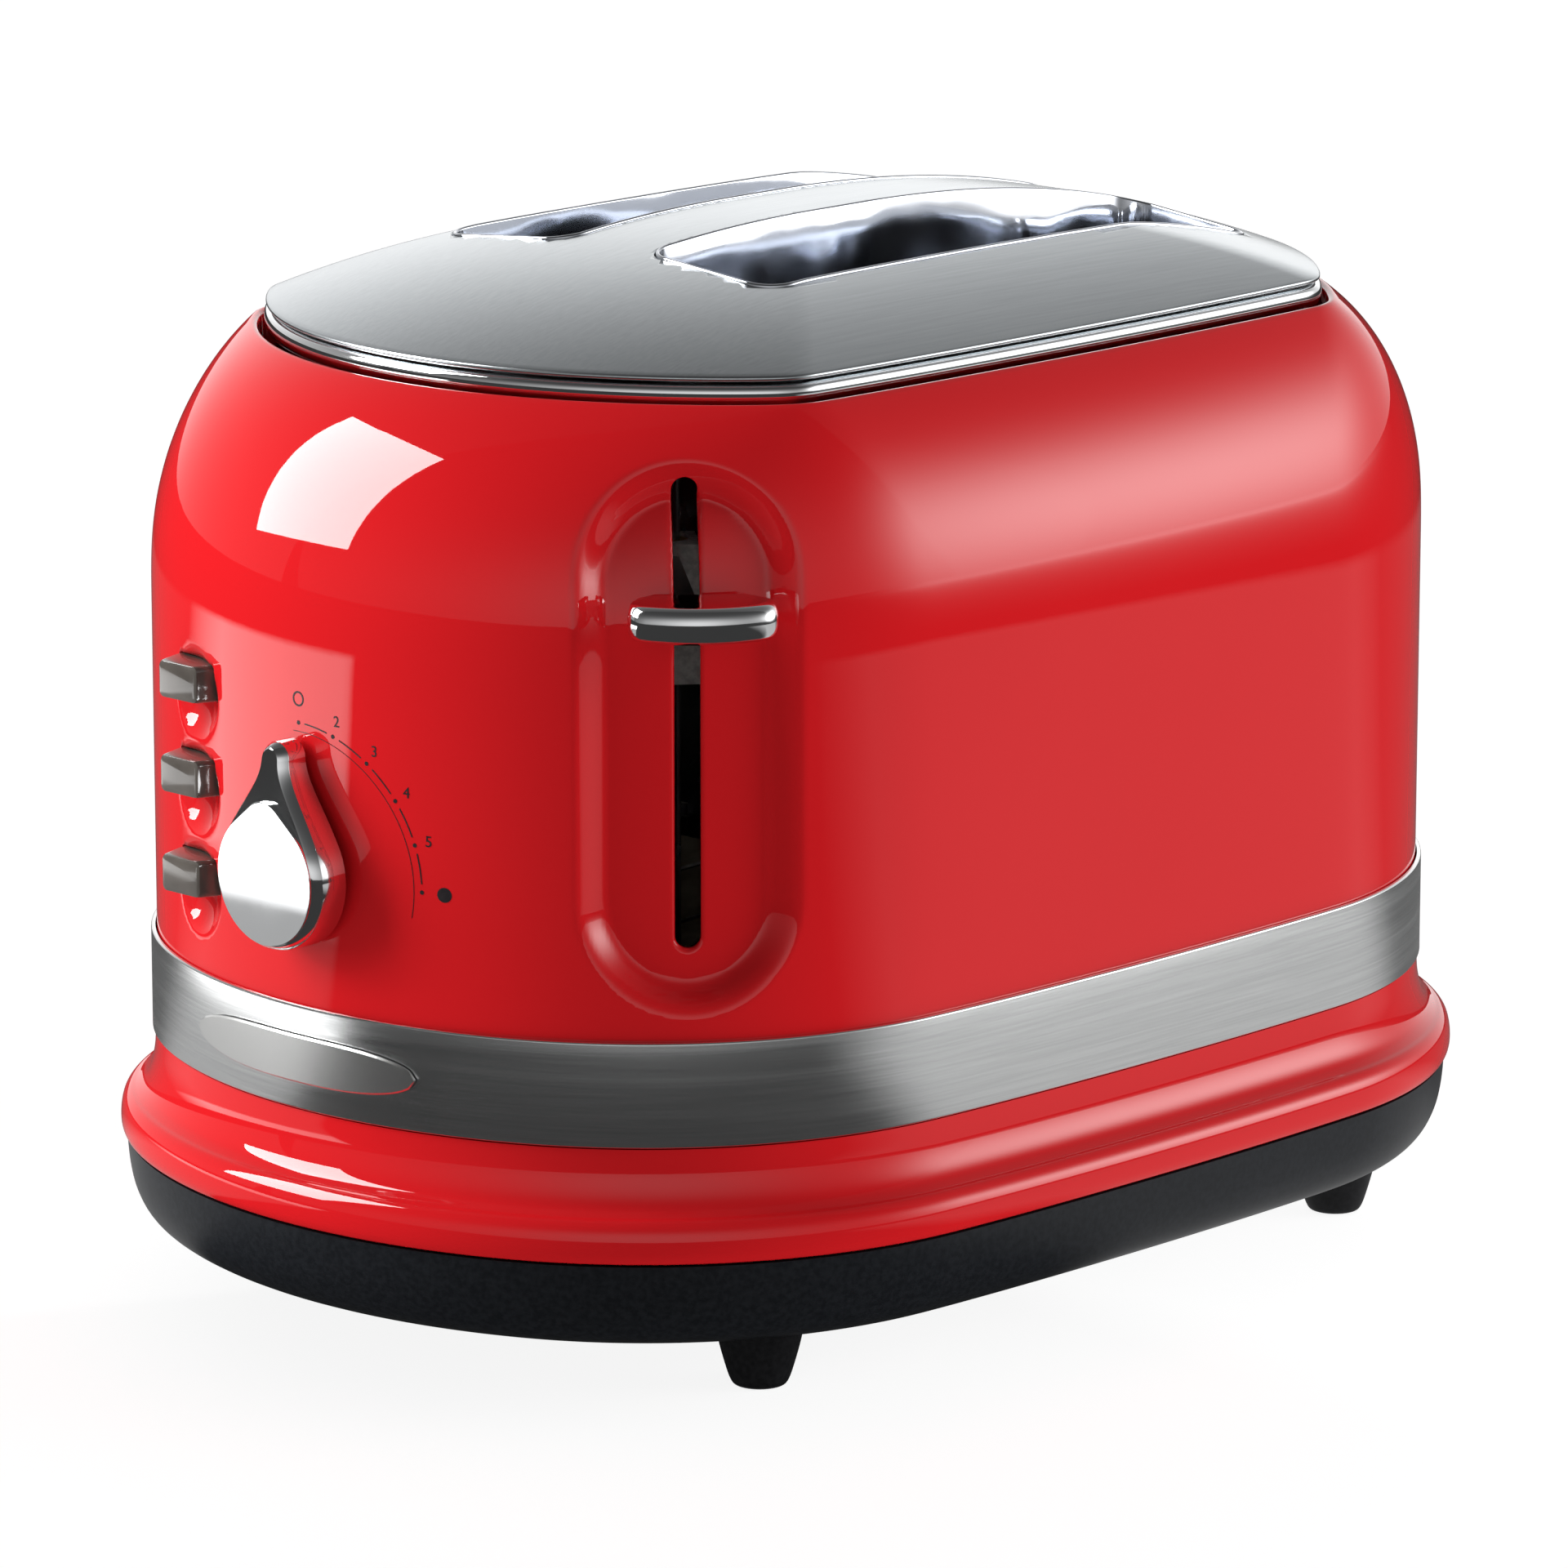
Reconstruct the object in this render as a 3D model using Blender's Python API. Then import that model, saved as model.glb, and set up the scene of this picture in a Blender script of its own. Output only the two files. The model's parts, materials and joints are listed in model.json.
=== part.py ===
"""Two-slice pop up toaster, built as separate named pieces.

Lengths are written in millimetres and turned into metres when a mesh is made.
+Z is up, the floor is z = 0 under the feet, the control end faces -Y and the bread slots run along Y.
"""
import math

import bmesh
import bpy
from mathutils import Matrix, Vector

MM = 0.001
GAP = 0.3                     # clearance between neighbouring pieces

# Body outline at the steel band: two end arcs, four corner arcs and two straight sides
BAND_WIDTH = 182.0
BAND_LENGTH = 264.0
END_RADIUS = 108.0
CORNER_RADIUS = 78.3
# Outline of the opening at the top of the red shell
RIM_WIDTH = 148.0
RIM_LENGTH = 216.5
RIM_END_RADIUS = 93.5
RIM_CORNER_RADIUS = 17.0

# Heights above the floor
BASE_BOTTOM = 12.4
SEAM = 30.4                   # red skirt meets the black base
BAND_BOTTOM = 50.7
BAND_TOP = 70.2
SHOULDER_START = 140.0
RIM_TOP = 182.3
LID_EDGE = 187.2
LID_CROWN = 202.5

LID_OFFSET = -3.4             # of the lid edge from the rim outline
LID_POWER = 2.5               # the higher, the flatter the middle of the crown
LID_THICKNESS = 1.2
SHOULDER_RADIUS = 50.0
SHOULDER_STEPS = 5            # rings up the shoulder
SHELL_INSET = 1.1             # the band stands this far proud of the shell
SHELL_WALL = 1.6
NORMAL_STEP = 10.0            # degrees between outline points
SIDE_STEPS = 3                # divisions of each straight side

# Bread slots in the lid
SLOT_WIDTH = 34.0
SLOT_FRONT = -52.5
SLOT_REAR = 83.0
SLOT_CENTRE_X = 27.0
SLOT_CORNER = 7.0
THROAT_WALL = 0.8
THROAT_BOTTOM = 168.0

# Toasting chamber
CHASSIS_FRONT = -57.0         # front face of the front plate
CHASSIS_REAR = 88.0           # rear face of the rear plate
CHASSIS_HALF_WIDTH = 61.0
CHASSIS_THICKNESS = 1.0
CHASSIS_TOP = 166.0
BRACKET = 170.5               # underside of the guide rod bracket
FLOOR_PLATE = 31.0
CHAMBER_BOTTOM = 36.0
BOARD_TOP = 146.0
BOARD_X = 54.0
GUARD_X = 16.0                # from a slot's middle plane
GUARD_PIVOT = 38.0
GUARD_TOP = 150.0
GUARD_WIRE = 0.9

# Carriage, in the popped-up position
LEVER_ANGLE = math.radians(49.5)      # of the lever track, from -Y towards +X
LEVER_SURFACE = (71.5, -101.1)        # middle of the track on the body surface
LEVER_HEIGHT = 148.0
KNOB_TALL = 6.8
RACK_HEIGHT = 98.0
LATCH_HEIGHT = 104.0
TRAVEL_DOWN = 58.0
ROD_DEPTH = -52.0                     # of the guide rod behind the surface
ROD_RADIUS = 2.5
ROD_TOP = 174.0
SPRING_PLACE = (12.0, -70.0)
TRACK_HALF_WIDTH = 20.0
TRACK_BOTTOM = 75.4
TRACK_TOP = 174.0
TRACK_DEPTH = 5.2
LEVER_SLOT_WIDTH = 4.7
LEVER_SLOT_BOTTOM = 86.0
LEVER_SLOT_TOP = 171.0
BAR_Y = -59.4                         # front face of the carriage plate

# Browning dial
DIAL_X = 1.4
DIAL_Z = 95.2
DIAL_RADIUS = 13.5
DIAL_TIP = 25.0                       # from the axis to the end of the pointer
DIAL_TIP_RADIUS = 3.2
DIAL_FACE = -140.0
DIAL_BACK = -132.0
DIAL_HOLE = 5.0                       # radius of the hole in the shell
CAP_SIZE = (11.7, 16.6, 1.0)          # face plate: round radius, tip reach, tip radius
SHAFT_RADIUS = 3.0
BOARD_FACE = -110.0                   # rear face of the control board

# Push buttons
BUTTON_X = -31.7
BUTTON_HEIGHTS = {"button_cancel": 125.1, "button_reheat": 107.3, "button_defrost": 88.5}
BUTTON_FRONT = 10.0                   # width of the front face
BUTTON_BASE = 14.0                    # width where it enters the shell
BUTTON_TALL = 7.0
BUTTON_PROUD = 4.5
DIMPLE_RADIUS = 8.5
DIMPLE_DEPTH = 3.0
DIMPLE_DROP = 3.0                     # dimple centre below the button centre

# Bush for the mains lead, in the rear of the shell
GLAND_Z = 84.0
GLAND_RADIUS = 6.5
GLAND_BORE = 3.8

# Base
FOOT_X = 64.7
FOOT_FRONT = -76.7
FOOT_REAR = 84.7
BASE_WALL = 2.0
TRAY_HALF_WIDTH = 51.0
TRAY_FRONT = -60.0
TRAY_REAR = 121.2
TRAY_BOTTOM = 19.2
TRAY_TOP = 24.0
TRAY_RAIL = 40.0                      # from the middle to the rails the tray slides on
TRAY_OPENING = (96.0, 18.5, 27.4)     # its start along Y, and its lowest and highest level


# ---------------------------------------------------------------- materials

def material(name, colour, roughness, metallic=0.0):
    made = bpy.data.materials.get(name) or bpy.data.materials.new(name)
    made.use_nodes = True
    shader = made.node_tree.nodes["Principled BSDF"]
    shader.inputs["Base Color"].default_value = (*colour, 1.0)
    shader.inputs["Roughness"].default_value = roughness
    shader.inputs["Metallic"].default_value = metallic
    return made


def make_materials():
    return {
        "red": material("red_paint", (0.62, 0.012, 0.016), 0.12),
        "brushed": material("brushed_steel", (0.60, 0.61, 0.62), 0.32, 1.0),
        "satin": material("satin_steel", (0.50, 0.52, 0.53), 0.38, 1.0),
        "chrome": material("polished_chrome", (0.86, 0.87, 0.88), 0.06, 1.0),
        "black": material("black_plastic", (0.012, 0.013, 0.015), 0.45),
        "smoke": material("smoked_plastic", (0.10, 0.09, 0.085), 0.15),
        "rubber": material("foot_rubber", (0.010, 0.010, 0.010), 0.8),
        "sheet": material("plated_sheet", (0.66, 0.67, 0.68), 0.30, 1.0),
        "mica": material("mica_board", (0.55, 0.47, 0.36), 0.7),
        "ribbon": material("heater_ribbon", (0.28, 0.25, 0.23), 0.4, 1.0),
        "wire": material("guard_wire", (0.72, 0.72, 0.72), 0.25, 1.0),
        "board": material("circuit_board", (0.03, 0.16, 0.06), 0.5),
        "copper": material("copper_winding", (0.72, 0.32, 0.14), 0.35, 1.0),
        "nylon": material("white_nylon", (0.75, 0.74, 0.70), 0.5),
        "brass": material("bush_brass", (0.72, 0.52, 0.22), 0.3, 1.0),
    }


# ---------------------------------------------------------------- mesh helpers

def place(name, mesh, look):
    """Add a mesh to the toaster collection as a named piece."""
    thing = bpy.data.objects.new(name, mesh)
    if look is not None:
        mesh.materials.clear()
        mesh.materials.append(look)
    TOASTER.objects.link(thing)
    return thing


def finish_mesh(name, build, look, sharp=35.0):
    """Turn a bmesh in millimetres into a piece in metres with outward faces."""
    bmesh.ops.recalc_face_normals(build, faces=build.faces)
    bmesh.ops.scale(build, vec=(MM, MM, MM), verts=build.verts)
    mesh = bpy.data.meshes.new(name)
    build.to_mesh(mesh)
    build.free()
    mesh.shade_smooth()
    mesh.set_sharp_from_angle(angle=math.radians(sharp))
    return place(name, mesh, look)


def loft(name, rings, look, tube=False):
    """Join rings of equal point count. A tube closes on its first ring, other lofts get end caps."""
    build = bmesh.new()
    rows = [[build.verts.new(point) for point in ring] for ring in rings]
    count = len(rings[0])
    pairs = list(zip(rows, rows[1:]))
    if tube:
        pairs.append((rows[-1], rows[0]))
    for lower, upper in pairs:
        for i in range(count):
            j = (i + 1) % count
            build.faces.new((lower[i], lower[j], upper[j], upper[i]))
    if not tube:
        build.faces.new(rows[0][::-1])
        build.faces.new(rows[-1])
    return finish_mesh(name, build, look)


def prism(name, outline, low, high, look, upright=False):
    """Extrude a flat XY outline along Z, or an upright XZ outline along Y."""
    def lift(a, b, level):
        return (a, level, b) if upright else (a, b, level)
    return loft(name, [[lift(a, b, level) for a, b in outline] for level in (low, high)], look)


def box(name, low, high, look):
    """A block between two corners."""
    build = bmesh.new()
    bmesh.ops.create_cube(build, size=1.0)
    size = [h - l for l, h in zip(low, high)]
    middle = [(h + l) / 2 for l, h in zip(low, high)]
    bmesh.ops.scale(build, vec=size, verts=build.verts)
    bmesh.ops.translate(build, vec=middle, verts=build.verts)
    return finish_mesh(name, build, look)


def cylinder(name, start, end, radius, look, sides=24):
    """A round bar between two points."""
    start, end = Vector(start), Vector(end)
    build = bmesh.new()
    bmesh.ops.create_cone(build, cap_ends=True, segments=sides, radius1=radius, radius2=radius,
                          depth=(end - start).length)
    turn = Vector((0, 0, 1)).rotation_difference(end - start).to_matrix().to_4x4()
    bmesh.ops.transform(build, matrix=Matrix.Translation((start + end) / 2) @ turn, verts=build.verts)
    return finish_mesh(name, build, look)


def ball(name, centre, radius):
    build = bmesh.new()
    bmesh.ops.create_uvsphere(build, u_segments=20, v_segments=10, radius=radius)
    bmesh.ops.translate(build, vec=centre, verts=build.verts)
    return finish_mesh(name, build, None)


def turned(name, profile, centre, look, sides=16):
    """Turn a closed profile of (radius, height) points about an upright axis."""
    rings = []
    for radius, height in profile:
        ring = []
        for i in range(sides):
            a = 2 * math.pi * i / sides
            ring.append((centre[0] + radius * math.cos(a), centre[1] + radius * math.sin(a), height))
        rings.append(ring)
    return loft(name, rings, look, tube=True)


def wire(name, points, radius, look, resolution=2):
    """A bent wire along points."""
    data = bpy.data.curves.new(name, "CURVE")
    data.dimensions = "3D"
    data.bevel_depth = radius * MM
    data.bevel_resolution = resolution
    data.use_fill_caps = True
    line = data.splines.new("POLY")
    line.points.add(len(points) - 1)
    for spot, point in zip(line.points, points):
        spot.co = (*[c * MM for c in point], 1.0)
    thing = bpy.data.objects.new(name, data)
    data.materials.append(look)
    TOASTER.objects.link(thing)
    return thing


def as_cutter(thing):
    """Move a shape to the cutters, where it is not part of the toaster."""
    TOASTER.objects.unlink(thing)
    CUTTERS.objects.link(thing)
    thing.hide_render = True
    thing.display_type = "WIRE"
    return thing


def boolean(thing, other, operation="DIFFERENCE"):
    as_cutter(other)
    step = thing.modifiers.new(other.name, "BOOLEAN")
    step.operation = operation
    step.solver = "EXACT"
    step.object = other
    return thing


# ---------------------------------------------------------------- outlines

def quarter(width, length, end_radius, corner_radius):
    """One quarter of the outline, from the front middle to the start of the right side."""
    corner_x = width / 2 - corner_radius
    end_y = length / 2 - end_radius
    corner_y = end_y + math.sqrt((end_radius - corner_radius) ** 2 - corner_x ** 2)
    turn = math.atan2(corner_x, corner_y - end_y)
    points = []
    steps = int(90 / NORMAL_STEP)
    for i in range(steps + 1):
        a = math.radians(i * NORMAL_STEP)
        if a <= turn:
            points.append((end_radius * math.sin(a), -end_y - end_radius * math.cos(a)))
        else:
            points.append((corner_x + corner_radius * math.sin(a), -corner_y - corner_radius * math.cos(a)))
    return points


def outline(width, length, end_radius, corner_radius):
    """The whole outline, anticlockwise from the front middle."""
    front = quarter(width, length, end_radius, corner_radius)
    x, y = front[-1]
    side = [(x, y + (-2 * y) * k / SIDE_STEPS) for k in range(1, SIDE_STEPS)]
    right = front + side + [(px, -py) for px, py in reversed(front)]
    left = [(-px, -py) for px, py in right[1:-1]]
    return right + left


def band_outline(offset):
    """The band outline grown by an offset."""
    return outline(BAND_WIDTH + 2 * offset, BAND_LENGTH + 2 * offset, END_RADIUS + offset,
                   CORNER_RADIUS + offset)


def rim_outline(offset):
    return outline(RIM_WIDTH + 2 * offset, RIM_LENGTH + 2 * offset, RIM_END_RADIUS + offset,
                   RIM_CORNER_RADIUS + offset)


def at_height(points, z):
    return [(x, y, z) for x, y in points]


def shoulder_ring(angle, depth):
    """Shell outline on the shoulder arc, a depth below the outer surface."""
    last = math.asin((RIM_TOP - SHOULDER_START) / SHOULDER_RADIUS)
    blend = (1 - math.cos(angle)) / (1 - math.cos(last))
    inward = depth * math.cos(angle)
    low = band_outline(-SHELL_INSET - inward)
    high = rim_outline(-inward)
    z = SHOULDER_START + (SHOULDER_RADIUS - depth) * math.sin(angle)
    return [((1 - blend) * a + blend * c, (1 - blend) * b + blend * d, z)
            for (a, b), (c, d) in zip(low, high)]


def body_rings(depth, bottom, overshoot=0.0):
    """Rings of the shell surface, from a bottom height to the rim."""
    last = math.asin((RIM_TOP - SHOULDER_START) / SHOULDER_RADIUS)
    rings = [at_height(band_outline(-SHELL_INSET - depth), z) for z in (bottom, SHOULDER_START)]
    rings += [shoulder_ring(last * i / SHOULDER_STEPS, depth) for i in range(1, SHOULDER_STEPS + 1)]
    if overshoot:
        rings.append([(x, y, z + overshoot) for x, y, z in rings[-1]])
    return rings


def rounded_box(half_x, low_y, high_y, radius, centre_x=0.0, side_steps=6, corner_steps=3):
    """Outline of a rounded rectangle with its long sides divided, anticlockwise."""
    corners = [(half_x, low_y, -90), (half_x, high_y, 0), (-half_x, high_y, 90), (-half_x, low_y, 180)]
    points = []
    for x, y, start in corners:
        cx = x - math.copysign(radius, x)
        cy = y - math.copysign(radius, y - (low_y + high_y) / 2)
        for k in range(corner_steps + 1):
            a = math.radians(start + 90 * k / corner_steps)
            points.append((centre_x + cx + radius * math.cos(a), cy + radius * math.sin(a)))
        if start in (-90, 90):
            end_y = (high_y - radius) if start == -90 else (low_y + radius)
            begin_y = points[-1][1]
            for k in range(1, side_steps):
                points.append((centre_x + x, begin_y + (end_y - begin_y) * k / side_steps))
    return points


def lid_height(x, y):
    """Height of the crowned lid above the floor."""
    share = 0.0
    steps = 24
    end_y = RIM_LENGTH / 2 - RIM_END_RADIUS
    corner_x = RIM_WIDTH / 2 - RIM_CORNER_RADIUS
    corner_y = end_y + math.sqrt((RIM_END_RADIUS - RIM_CORNER_RADIUS) ** 2 - corner_x ** 2)
    turn = math.atan2(corner_x, corner_y - end_y)
    for i in range(steps + 1):
        a = math.radians(90 * i / steps)
        nx, ny = math.sin(a), math.cos(a)
        if a <= turn:
            reach = end_y * ny + RIM_END_RADIUS
        else:
            reach = corner_x * nx + corner_y * ny + RIM_CORNER_RADIUS
        share = max(share, (abs(x) * nx + abs(y) * ny) / (reach + LID_OFFSET))
    return crown_height(min(share, 1.0))


def crown_height(share):
    """Height of the lid at a share of the way from its middle to its edge."""
    return LID_EDGE + (LID_CROWN - LID_EDGE) * (1 - share ** LID_POWER)


def lever_point(depth_out, along=0.0):
    """Plan position a distance outside the lever track's surface point, and along the surface."""
    nx, ny = math.sin(LEVER_ANGLE), -math.cos(LEVER_ANGLE)
    return (LEVER_SURFACE[0] + nx * depth_out - ny * along,
            LEVER_SURFACE[1] + ny * depth_out + nx * along)


def lever_block(name, out_low, out_high, half_width, z_low, z_high, look):
    """A block square to the lever track."""
    corners = [(out_low, -half_width), (out_high, -half_width), (out_high, half_width), (out_low, half_width)]
    return prism(name, [lever_point(o, a) for o, a in corners], z_low, z_high, look)


def stadium_prism(name, half_width, z_low, z_high, out_low, out_high):
    """A round-ended upright block square to the lever track."""
    rings = []
    for out in (out_low, out_high):
        ring = []
        for centre, start in ((z_high - half_width, 0), (z_low + half_width, 180)):
            for k in range(11):
                a = math.radians(start + 180 * k / 10)
                x, y = lever_point(out, half_width * math.cos(a))
                ring.append((x, y, centre + half_width * math.sin(a)))
        rings.append(ring)
    return loft(name, rings, None)


# ---------------------------------------------------------------- outer casing

def end_surface(x):
    """Y of the shell surface on the front end arc."""
    radius = END_RADIUS - SHELL_INSET
    return -(BAND_LENGTH / 2 - END_RADIUS) - math.sqrt(radius ** 2 - x ** 2)


def dimple(name, z, extra):
    """A finger hollow round a button, grown by an extra amount."""
    sphere = (DIMPLE_RADIUS ** 2 + DIMPLE_DEPTH ** 2) / (2 * DIMPLE_DEPTH)
    angle = math.asin(BUTTON_X / (END_RADIUS - SHELL_INSET))
    middle = END_RADIUS - SHELL_INSET + sphere - DIMPLE_DEPTH
    centre_y = -(BAND_LENGTH / 2 - END_RADIUS) - middle * math.cos(angle)
    return ball(name, (middle * math.sin(angle), centre_y, z - DIMPLE_DROP), sphere + extra)


def make_outer_shell(look):
    """Red shell: wall, pressed lever track, dial hole, finger dimples with button holes."""
    shell = loft("outer_shell", body_rings(0.0, BAND_BOTTOM + GAP), look)
    cavity = loft("shell_cavity", body_rings(SHELL_WALL, BAND_BOTTOM - 5, overshoot=12.0), None)
    track_back = stadium_prism("track_back", TRACK_HALF_WIDTH + SHELL_WALL, TRACK_BOTTOM - SHELL_WALL,
                               TRACK_TOP + SHELL_WALL, -40.0, 12.0)
    boolean(track_back, loft("track_back_limit", body_rings(TRACK_DEPTH + SHELL_WALL, 40.0), None))
    boolean(cavity, track_back)
    for name, z in BUTTON_HEIGHTS.items():
        boolean(cavity, dimple(name + "_dimple_back", z, SHELL_WALL))
    boolean(shell, cavity)
    pocket = stadium_prism("track_pocket", TRACK_HALF_WIDTH, TRACK_BOTTOM, TRACK_TOP, -39.0, 14.0)
    boolean(pocket, loft("track_pocket_limit", body_rings(TRACK_DEPTH, 38.0), None))
    boolean(shell, pocket)
    boolean(shell, lever_block("lever_slot", -32.0, 6.0, LEVER_SLOT_WIDTH / 2, LEVER_SLOT_BOTTOM,
                               LEVER_SLOT_TOP, None))
    boolean(shell, cylinder("dial_hole", (DIAL_X, -145, DIAL_Z), (DIAL_X, -120, DIAL_Z), DIAL_HOLE, None))
    half = BUTTON_BASE / 2 + GAP
    tall = BUTTON_TALL / 2 + GAP
    for name, z in BUTTON_HEIGHTS.items():
        boolean(shell, dimple(name + "_dimple", z, 0.0))
        boolean(shell, box(name + "_hole", (BUTTON_X - half, -140, z - tall),
                           (BUTTON_X + half, -112, z + tall), None))
    boolean(shell, cylinder("gland_hole", (0, 120, GLAND_Z), (0, 140, GLAND_Z), GLAND_RADIUS + GAP, None))


def make_skirt(look):
    """Red moulding from the band down to the base: straight wall, cove and bead."""
    profile = [(-0.6, BAND_BOTTOM - GAP), (0.2, 43.0), (2.2, 39.4), (4.8, 38.1), (6.2, 35.0),
               (5.7, SEAM + 0.1)]
    outer = [at_height(band_outline(offset), z) for offset, z in reversed(profile)]
    inner = [at_height(band_outline(profile[i][0] - SHELL_WALL), profile[i][1]) for i in (0, 2, 5)]
    loft("lower_skirt", outer + inner, look, tube=True)


def make_band(look):
    levels = [(0.0, BAND_BOTTOM), (0.0, BAND_TOP)]
    outer = [at_height(band_outline(offset), z) for offset, z in levels]
    inner = [at_height(band_outline(-SHELL_INSET + GAP), z) for z in (BAND_TOP, BAND_BOTTOM)]
    loft("steel_band", outer + inner, look, tube=True)


def make_badge(look):
    """A plain lozenge that follows the band round the front end."""
    middle = (BAND_TOP + BAND_BOTTOM) / 2
    reach, tall, thick, tip = 16.0, 4.4, 1.3, 0.6
    steps = 8
    rings = []
    for k in range(-steps, steps + 1):
        share = k / steps
        a = math.radians(reach * share)
        half = tip + (tall - tip) * math.sqrt(1 - abs(share) ** 3)
        ring = []
        for out, side in ((GAP, -1), (thick, -1), (thick, 1), (GAP, 1)):
            r = END_RADIUS + out
            y = -(BAND_LENGTH / 2 - END_RADIUS) - r * math.cos(a)
            ring.append((r * math.sin(a), y, middle + side * half))
        rings.append(ring)
    loft("badge_plate", rings, look)


def make_lid(look, trim_look):
    """Crowned lid with two bread slots, and the rounded trim under its edge."""
    shares = (1.0, 0.95, 0.8, 0.6, 0.3, 0.04)
    edge = rim_outline(LID_OFFSET)

    def crown(share, drop):
        return [(x * share, y * share, crown_height(share) - drop) for x, y in edge]

    under = [crown(share * 0.985, LID_THICKNESS) for share in shares]
    rim = at_height(edge, LID_EDGE - 1.0)
    lid = loft("top_lid", under[::-1] + [rim] + [crown(share, 0) for share in shares], look)
    for side, x in (("left", -SLOT_CENTRE_X), ("right", SLOT_CENTRE_X)):
        opening = rounded_box(SLOT_WIDTH / 2, SLOT_FRONT, SLOT_REAR, SLOT_CORNER, centre_x=x)
        boolean(lid, prism("lid_slot_" + side, opening, 150, 215, None))
    top = LID_EDGE - 1.6
    trim = [(-4.2, 180.6), (-2.9, 182.0), (-2.6, 183.8), (-3.6, top), (-6.6, top), (-6.6, 180.8)]
    loft("lid_trim", [at_height(rim_outline(offset), z) for offset, z in trim], trim_look, tube=True)


def make_throat(side, x, look):
    """Sheet-metal throat of one bread slot, with its top edge following the lid."""
    clear = GAP + 0.05
    proud = 0.35
    lean = 1.4

    def loop(inset, narrower):
        return rounded_box(SLOT_WIDTH / 2 - inset - narrower, SLOT_FRONT + inset, SLOT_REAR - inset,
                           SLOT_CORNER - inset, centre_x=x)

    lip = [(px, py, lid_height(px, py) + proud) for px, py in loop(clear, 0)]
    lip_in = [(px, py, lid_height(px, py) + proud) for px, py in loop(clear + THROAT_WALL, 0)]
    rings = [at_height(loop(clear, lean), THROAT_BOTTOM), lip, lip_in,
             at_height(loop(clear + THROAT_WALL, lean), THROAT_BOTTOM)]
    loft("slot_throat_" + side, rings, look, tube=True)


# ---------------------------------------------------------------- base

def make_base(look):
    """Black dish with screw posts and a rear opening for the crumb tray."""
    outer = [(-14.0, BASE_BOTTOM), (-6.5, 12.8), (-0.5, 14.8), (3.2, 19.0), (4.8, 25.0), (5.1, SEAM - GAP)]
    inner = [(offset - BASE_WALL, max(z, BASE_BOTTOM + BASE_WALL)) for offset, z in outer[2:]]
    rings = [at_height(band_outline(offset), z) for offset, z in outer]
    rings += [at_height(band_outline(offset), z) for offset, z in reversed(inner)]
    rings.append(at_height(band_outline(-6.0), BASE_BOTTOM + BASE_WALL))
    base = loft("base_pan", rings, look)
    start, low, high = TRAY_OPENING
    half = TRAY_HALF_WIDTH + 1.0
    for tag, x, y in corners():
        post = cylinder("post_" + tag, (x, y, BASE_BOTTOM + 1), (x, y, FLOOR_PLATE - 0.5), 5.5, None)
        boolean(base, post, "UNION")
    for side in (-1, 1):
        edges = sorted((side * (TRAY_RAIL - 1.5), side * (TRAY_RAIL + 1.5)))
        rail = box("tray_rail", (edges[0], TRAY_FRONT, BASE_BOTTOM + 1),
                   (edges[1], start - 2, TRAY_BOTTOM - GAP), None)
        boolean(base, rail, "UNION")
    for tag, x, y in corners():
        boolean(base, cylinder("post_bore_" + tag, (x, y, 10), (x, y, 40), 2.3, None, sides=16))
    boolean(base, box("tray_opening", (-half, start, low), (half, 150, high), None))


def corners():
    return [("front_left", -FOOT_X, FOOT_FRONT), ("front_right", FOOT_X, FOOT_FRONT),
            ("rear_left", -FOOT_X, FOOT_REAR), ("rear_right", FOOT_X, FOOT_REAR)]


def make_feet(look, screw_look):
    """Tapered feet, each with a screw up through its middle into the base post."""
    top = BASE_BOTTOM - GAP
    profile = [(2.4, 5.0), (3.2, 5.0), (3.2, 0.0), (4.6, 0.0), (5.5, 1.2), (6.2, 3.2), (7.4, 7.5),
               (8.4, top), (2.4, top)]
    for tag, x, y in corners():
        turned("foot_" + tag, profile, (x, y), look)
        screw = cylinder("screw_" + tag, (x, y, 4.7), (x, y, 2.6), 2.8, screw_look, sides=16)
        boolean(screw, cylinder("screw_shank_" + tag, (x, y, 24.0), (x, y, 4.0), 1.9, None, sides=12), "UNION")


def make_tray(look, handle_look):
    """Crumb tray: shallow sheet dish, with a curved pull flush with the rear of the base."""
    half = TRAY_HALF_WIDTH
    sheet = 1.0
    outline_out = rounded_box(half, TRAY_FRONT, TRAY_REAR, 4.0, side_steps=1)
    outline_in = rounded_box(half - sheet, TRAY_FRONT + sheet, TRAY_REAR - sheet, 3.0, side_steps=1)
    rings = [at_height(outline_out, TRAY_BOTTOM), at_height(outline_out, TRAY_TOP),
             at_height(outline_in, TRAY_TOP), at_height(outline_in, TRAY_BOTTOM + sheet)]
    loft("crumb_tray", rings, look)
    centre_y = BAND_LENGTH / 2 - END_RADIUS
    outer = END_RADIUS + 8.0
    inner = END_RADIUS + 0.8
    steps = 12
    reach = math.asin(half / outer)
    arc = [-reach + 2 * reach * k / steps for k in range(steps + 1)]
    plan = [(outer * math.sin(a), centre_y + outer * math.cos(a)) for a in arc]
    plan += [(inner * math.sin(a), centre_y + inner * math.cos(a)) for a in reversed(arc)]
    prism("tray_handle", plan, TRAY_OPENING[1] + 0.9, TRAY_OPENING[2] - 0.6, handle_look)


# ---------------------------------------------------------------- chassis and heating

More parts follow.
